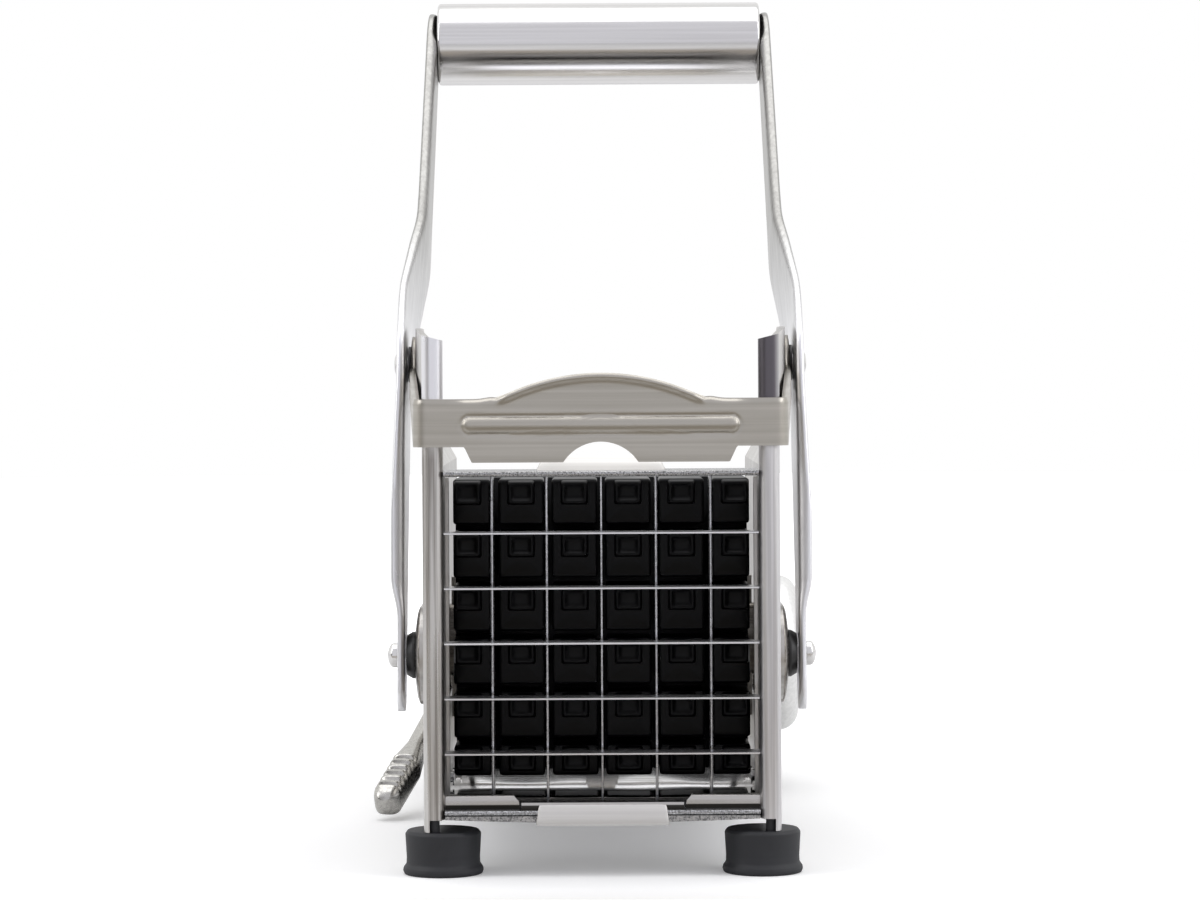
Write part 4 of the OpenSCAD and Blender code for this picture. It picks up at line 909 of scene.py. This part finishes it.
# %% Pusher block
PEG_ROOT, PEG_FACE, NIB_FACE, PEG_GAP, PEG_CORNER, PEG_ROUND = 45.59, 30.39, 28.59, 1.8, 0.7, 0.8
WALL_HALF, BLOCK_LOW, BLOCK_HIGH, BLOCK_BACK = 35.25, 20.0, 90.5, 7.0
BLOCK_Z, BLOCK_HALF = (BLOCK_LOW + BLOCK_HIGH) / 2, (BLOCK_HIGH - BLOCK_LOW) / 2
NIB_HALF, NIB_CORNER, NIB_BELOW = (3.0, 2.6), 0.6, 0.6   # below the top of its peg
EDGE_NIB_X = 2 * PITCH + PEG_GAP / 2 + 5.45              # middle of the nibs on the outermost pegs


def rounded_square(half_x, half_z, corner):
    """Ring of a rectangle with rounded corners: arcs of radius corner about the inset corners."""
    rings = []
    for k, (sx, sz) in enumerate(((1, 1), (-1, 1), (-1, -1), (1, -1))):
        t = np.linspace(0, QUARTER, 4) + k * QUARTER
        rings.append(points(sx * (half_x - corner) + corner * np.cos(t),
                            sz * (half_z - corner) + corner * np.sin(t)))
    return np.vstack(rings)


def stacked(rings):
    """Rings (centre x, depth, centre z, half x, half z, corner) joined into a closed form."""
    x0, depth, z0 = np.array(rings).T[:3, :, None]
    flat = np.array([rounded_square(*ring[3:]) for ring in rings])
    return shell(points(x0 + flat[..., 0], depth, z0 + flat[..., 1]), capped=True)


def peg(x0, x1, z0, z1):
    """A peg with a rounded front edge."""
    cx, cz, hx, hz = (x0 + x1) / 2, (z0 + z1) / 2, (x1 - x0) / 2, (z1 - z0) / 2
    rings = [(PEG_ROOT + 0.4, 0)] + [(PEG_FACE + PEG_ROUND * (1 - math.sin(a)), PEG_ROUND * (1 - math.cos(a)))
                                     for a in (0, 0.5, 1.0, QUARTER)]
    return stacked([(cx, depth, cz, hx - inset, hz - inset, PEG_CORNER) for depth, inset in rings])


def nib(cx, top):
    """A square nib: sloping sides, a rounded rim and a dished middle."""
    hx, hz = NIB_HALF
    rings = [(2.0, 0.35), (0.9, 0.15), (0.3, 0.0), (0.05, -0.2), (0, -0.45), (0.15, -0.75), (0.7, -1.1),
             (0.85, -1.7)]
    return stacked([(cx, NIB_FACE + back, top - NIB_BELOW - hz, hx + grow, hz + grow, NIB_CORNER)
                    for back, grow in rings])


def bands(low, high, middle):
    """Edges of each row of pegs between the block's edges, with a gap round every blade."""
    cuts = middle + BLADE_ROWS
    return list(zip([low, *(cuts + PEG_GAP / 2)], [*(cuts - PEG_GAP / 2), high]))


block_shells = [stacked([(0, PEG_ROOT + back, BLOCK_Z, WALL_HALF - inset, BLOCK_HALF - inset, corner)
                         for back, inset, corner in ((BLOCK_BACK, 0.6, 0.8), (BLOCK_BACK - 0.6, 0, 1.0),
                                                     (0.2, 0, 1.0), (0, 0.2, 1.0))])]
for left, right in bands(-WALL_HALF, WALL_HALF, 0.0):
    middle_x = (left + right) / 2
    if abs(middle_x) > 2 * PITCH:
        middle_x = math.copysign(EDGE_NIB_X, middle_x)
    for bottom, top in bands(BLOCK_LOW, BLOCK_HIGH, GRID_Z):
        block_shells += [peg(left, right, bottom, top), nib(middle_x, top)]
piece("pegged_pusher", block_shells, "pusher", block_plastic, ["pusher_block"],
      sharp=50)

flange_ring = rounded_square(4.1, 8.7, 1.6) + [50.0, 51.0]
flange = shell(points([[35.4], [36.95]], *flange_ring.T), capped=True)
piece("shoe_flanges", both(flange), "pusher", painted_shade_washer_steel)

# %% [markdown]
# ## Suction lever and cap
# The lever that works the suction pad is a casting: a hub, a flat shank and a thumb pad with ribs. Its
# sections are rounded rectangles carried along a bent line, and the ribs are small waves on top.

# %% Suction lever and cap
LEVER_LINE = np.array([[42.3, 178.0, 36.6], [42.3, 168.0, 32.2], [42.5, 158.0, 27.6],
                       [46.3, 143.0, 20.6], [50.3, 128.0, 13.8], [55.8, 107.7, 5.1]])
PAD_HALF_H, PAD_HALF_W, TIP_LENGTH, TABLE_GAP = 3.9, 3.5, 3.9, 0.6
RIB_FROM, RIB_TO, RIB_PITCH, RIB_HEIGHT = 3.2, 21.5, 2.9, 0.75


def suction_lever_shell():
    """Stations along (sideways, depth, height); superellipse sections with ribs on the upper side."""
    run = run_along(LEVER_LINE)
    tip = TIP_LENGTH
    length = run[-1] + tip
    s = in_order(np.linspace(0, length - tip, 260),
                 length - tip * (1 - np.sin(np.linspace(0, QUARTER, 10))))
    even = np.linspace(0, run[-1], 400)
    middle = points(*(np.interp(s, even, smooth(np.interp(even, run, axis), 22)) for axis in LEVER_LINE.T))
    middle += np.maximum(s - run[-1], 0)[:, None] * units(LEVER_LINE[-1:] - LEVER_LINE[-2:-1])
    ahead = units(np.gradient(middle, s, axis=0))
    side = units(np.cross(ahead, [0, 0, 1.0]))
    up = np.cross(side, ahead)
    back = length - s
    stops = [0, tip, 22, 30, 60, length]
    half_h = np.interp(back, stops, [0, PAD_HALF_H, 4.1, 3.9, 4.3, 6.4])
    half_w = np.interp(back, stops, [0, PAD_HALF_W, 3.5, 2.1, 2.2, 2.4])
    at_tip = back < tip
    round_end = np.sqrt(np.clip(1 - (1 - back / tip) ** 2, 0.0004, 1)) * at_tip + (back >= tip)
    half_h = np.where(at_tip, PAD_HALF_H, half_h) * round_end
    half_w = np.where(at_tip, PAD_HALF_W, half_w) * round_end
    v = np.linspace(0, FULL_TURN, 44, endpoint=False)
    a, b = blunt(np.cos(v), 0.55), blunt(np.sin(v), 0.55)
    ribs = RIB_HEIGHT * np.clip(1.6 * np.sin((back - RIB_FROM) / RIB_PITCH * 2 * math.pi), -1, 0.6)
    ribs = ribs * ((back > RIB_FROM) & (back < RIB_TO))
    lift = (half_h[:, None] * b) + ribs[:, None] * np.clip(b - 0.2, 0, 1)
    out = side[:, None] * (half_w[:, None] * a)[..., None] + up[:, None] * lift[..., None]
    x, depth, z = np.moveaxis(middle[:, None] + out, -1, 0)
    return shell(points(-x, depth, np.maximum(z, TABLE_GAP)), capped=True)


CAM = (180.0, 37.4)           # depth and height of the cam shaft
HUB_IN, HUB_OUT, HUB_OUTER_R, CAP_R, CAP_OUT = 40.1, 48.1, 9.0, 21.5, 54.3
hub = turned([(HUB_IN, BORE, 0), (HUB_IN, HUB_OUTER_R, 0.8), (HUB_OUT, HUB_OUTER_R, 1.4), (HUB_OUT, BORE, 0),
              (HUB_IN + 0.01, BORE, 0)], *CAM, closed=True)
piece("cast_suction_lever", mirrored([hub]) + [suction_lever_shell()], "suction_lever", cast_plate,
      ["suction_lever"], sharp=50)

cap = turned([(HUB_IN, 4.0, 0), (HUB_IN, 8.0, 0.4), (41.6, 8.0, 0.4), (41.6, CAP_R, 0.8),
              (CAP_OUT, CAP_R, 5.2), (CAP_OUT, 9.0, 1.0), (53.9, 8.0, 1.0), (53.9, 0, 0)], *CAM, steps=8)
piece("round_cap", [cap], "suction_lever", cap_satin, ["cam_cap"])

# %% [markdown]
# ## Studio
# A white floor and a wide overhead light. The world is white behind the object and greyer on the
# camera's side, as in a room, so that the steel has something darker to reflect. The floor is clear
# from below, so that the underside can be seen.

# %% Floor
DESK, SHADE_LEVEL = (0.36, 0.325, 0.28), 0.22   # a brown desk ahead; the floor's own glow by the object
WHITE = (1.0, 1.0, 1.0)


def studio_floor():
    """A disc P(r, v) = (r cos v, r sin v, 0), whose glow for the camera rises to white with r."""
    r = np.array([0.0, 200, 500, 900, 1500, 3000])[:, None]
    v = np.linspace(0, FULL_TURN, 96, endpoint=False)
    verts, faces = shell(points(r * np.cos(v), r * np.sin(v), -0.02))
    mesh = bpy.data.meshes.new("studio_floor")
    mesh.from_pydata((verts * MM).tolist(), [], faces)
    obj = in_scene("studio_floor", mesh)
    material, shader, _, place = material_base("white paper")
    y = split(place)["Y"]
    ahead = times(remap(y, -0.20, -0.26), remap(y, -0.50, -0.60, 1.0, 0.0))
    paper = mix(noise(place, 40.0), (0.86, 0.86, 0.86), (0.90, 0.90, 0.90))
    reach = maths("LENGTH", place, kind="VectorMath")["Value"]
    glow = maths("MAXIMUM", remap(reach, 0.22, 0.55, SHADE_LEVEL, 1.0), ahead)["Value"]
    seen = beside("LightPath", place).outputs["Is Camera Ray"]
    dress(shader, Base_Color=mix(ahead, paper, DESK), Roughness=0.9, Specular_IOR_Level=0.1,
          Emission_Color=(*WHITE, 1), Emission_Strength=times(glow, seen))
    choose, clear = beside("MixShader", place), beside("BsdfTransparent", place)
    under = beside("NewGeometry", place).outputs["Backfacing"]
    for socket, x in zip(choose.inputs, (under, shader.outputs["BSDF"], clear.outputs["BSDF"])):
        feed(socket, x)
    fed(material.node_tree.nodes["Material Output"], Surface=choose.outputs["Shader"])
    mesh.materials.append(material)


# %% World and lights
def studio_world():
    """World colour by direction: white behind, pale overhead, grey on the camera's side."""
    world = bpy.data.worlds.new("studio")
    bpy.context.scene.world = world
    world.use_nodes = True
    tree = world.node_tree
    place = tree.nodes.new("ShaderNodeTexCoord").outputs["Generated"]
    _, y, z = split(place)
    side = mix(remap(z, -0.30, -0.05), (0.30, 0.27, 0.235), (0.82, 0.82, 0.87))
    toward = maths("DOT_PRODUCT", place, (-0.86, -0.50, 0.10), kind="VectorMath")["Value"]
    side = mix(remap(toward, 0.88, 0.97), side, (0.10, 0.095, 0.09))
    room = mix(remap(y, -0.35, 0.25), side, WHITE)
    path = tree.nodes.new("ShaderNodeLightPath").outputs
    shown = maths("MAXIMUM", path["Is Camera Ray"], path["Is Glossy Ray"])["Value"]
    fed(tree.nodes["Background"], Color=mix(path["Is Camera Ray"], room, WHITE),
        Strength=remap(shown, 0.0, 1.0, 0.7, 1.0))


def soft_light(name, place, target, size, power):
    """A rectangular area light that looks at a point; power in watts."""
    data = bpy.data.lights.new(name, "AREA")
    data.shape = "RECTANGLE"
    data.size, data.size_y = size
    data.energy = power
    obj = in_scene(name, data)
    obj.location = place
    away = np.array(place) - np.array(target)
    obj.rotation_euler = Vector(away).to_track_quat("Z", "Y").to_euler()


studio_floor()
studio_world()
soft_light("overhead", (0, -0.05, 1.2), (0, -0.05, 0), (1.5, 1.0), 6.5)
for side_name, x in (("left", -1.1), ("right", 1.1)):
    soft_light(f"{side_name} window", (x, -0.5, 0.7), (0, -0.1, 0.1), (0.5, 0.9), 4.0)
print("lights in watts:", {light.name: light.energy for light in bpy.data.lights})

# %% [markdown]
# ## Camera
# The photograph was taken from the front, about 0.84 m away, at the height of the pivots. A lens
# shift keeps the uprights parallel, as a studio camera does, and a small roll matches its tilt.

# %% Camera
PHOTO_WIDTH, PHOTO_MIDDLE_ROW = 1200.0, 450.0
LEVEL_ROW, TABLE_ROW = 367.0, 877.0        # rows of the photograph at the lens and at the table
PX_PER_MM, DISTANCE = 4.355, 843.0         # at the front of the side plates
SENSOR, SHIFT_PX, ROLL = 36.0, 0.3, 0.0056

camera_data = bpy.data.cameras.new("camera")
camera = in_scene("camera", camera_data)
bpy.context.scene.camera = camera
camera_data.sensor_width = SENSOR
camera_data.lens = SENSOR * PX_PER_MM * DISTANCE / PHOTO_WIDTH
camera_data.shift_x = -SHIFT_PX / PHOTO_WIDTH
camera_data.shift_y = -(PHOTO_MIDDLE_ROW - LEVEL_ROW) / PHOTO_WIDTH
camera.location = (0, -(DISTANCE + FRONT_TO_ORIGIN) * MM, (TABLE_ROW - LEVEL_ROW) / PX_PER_MM * MM)
camera.rotation_euler = (math.pi / 2, ROLL, 0)
bpy.context.scene.view_settings.view_transform = "Standard"
print("lens in mm:", round(camera_data.lens, 1))
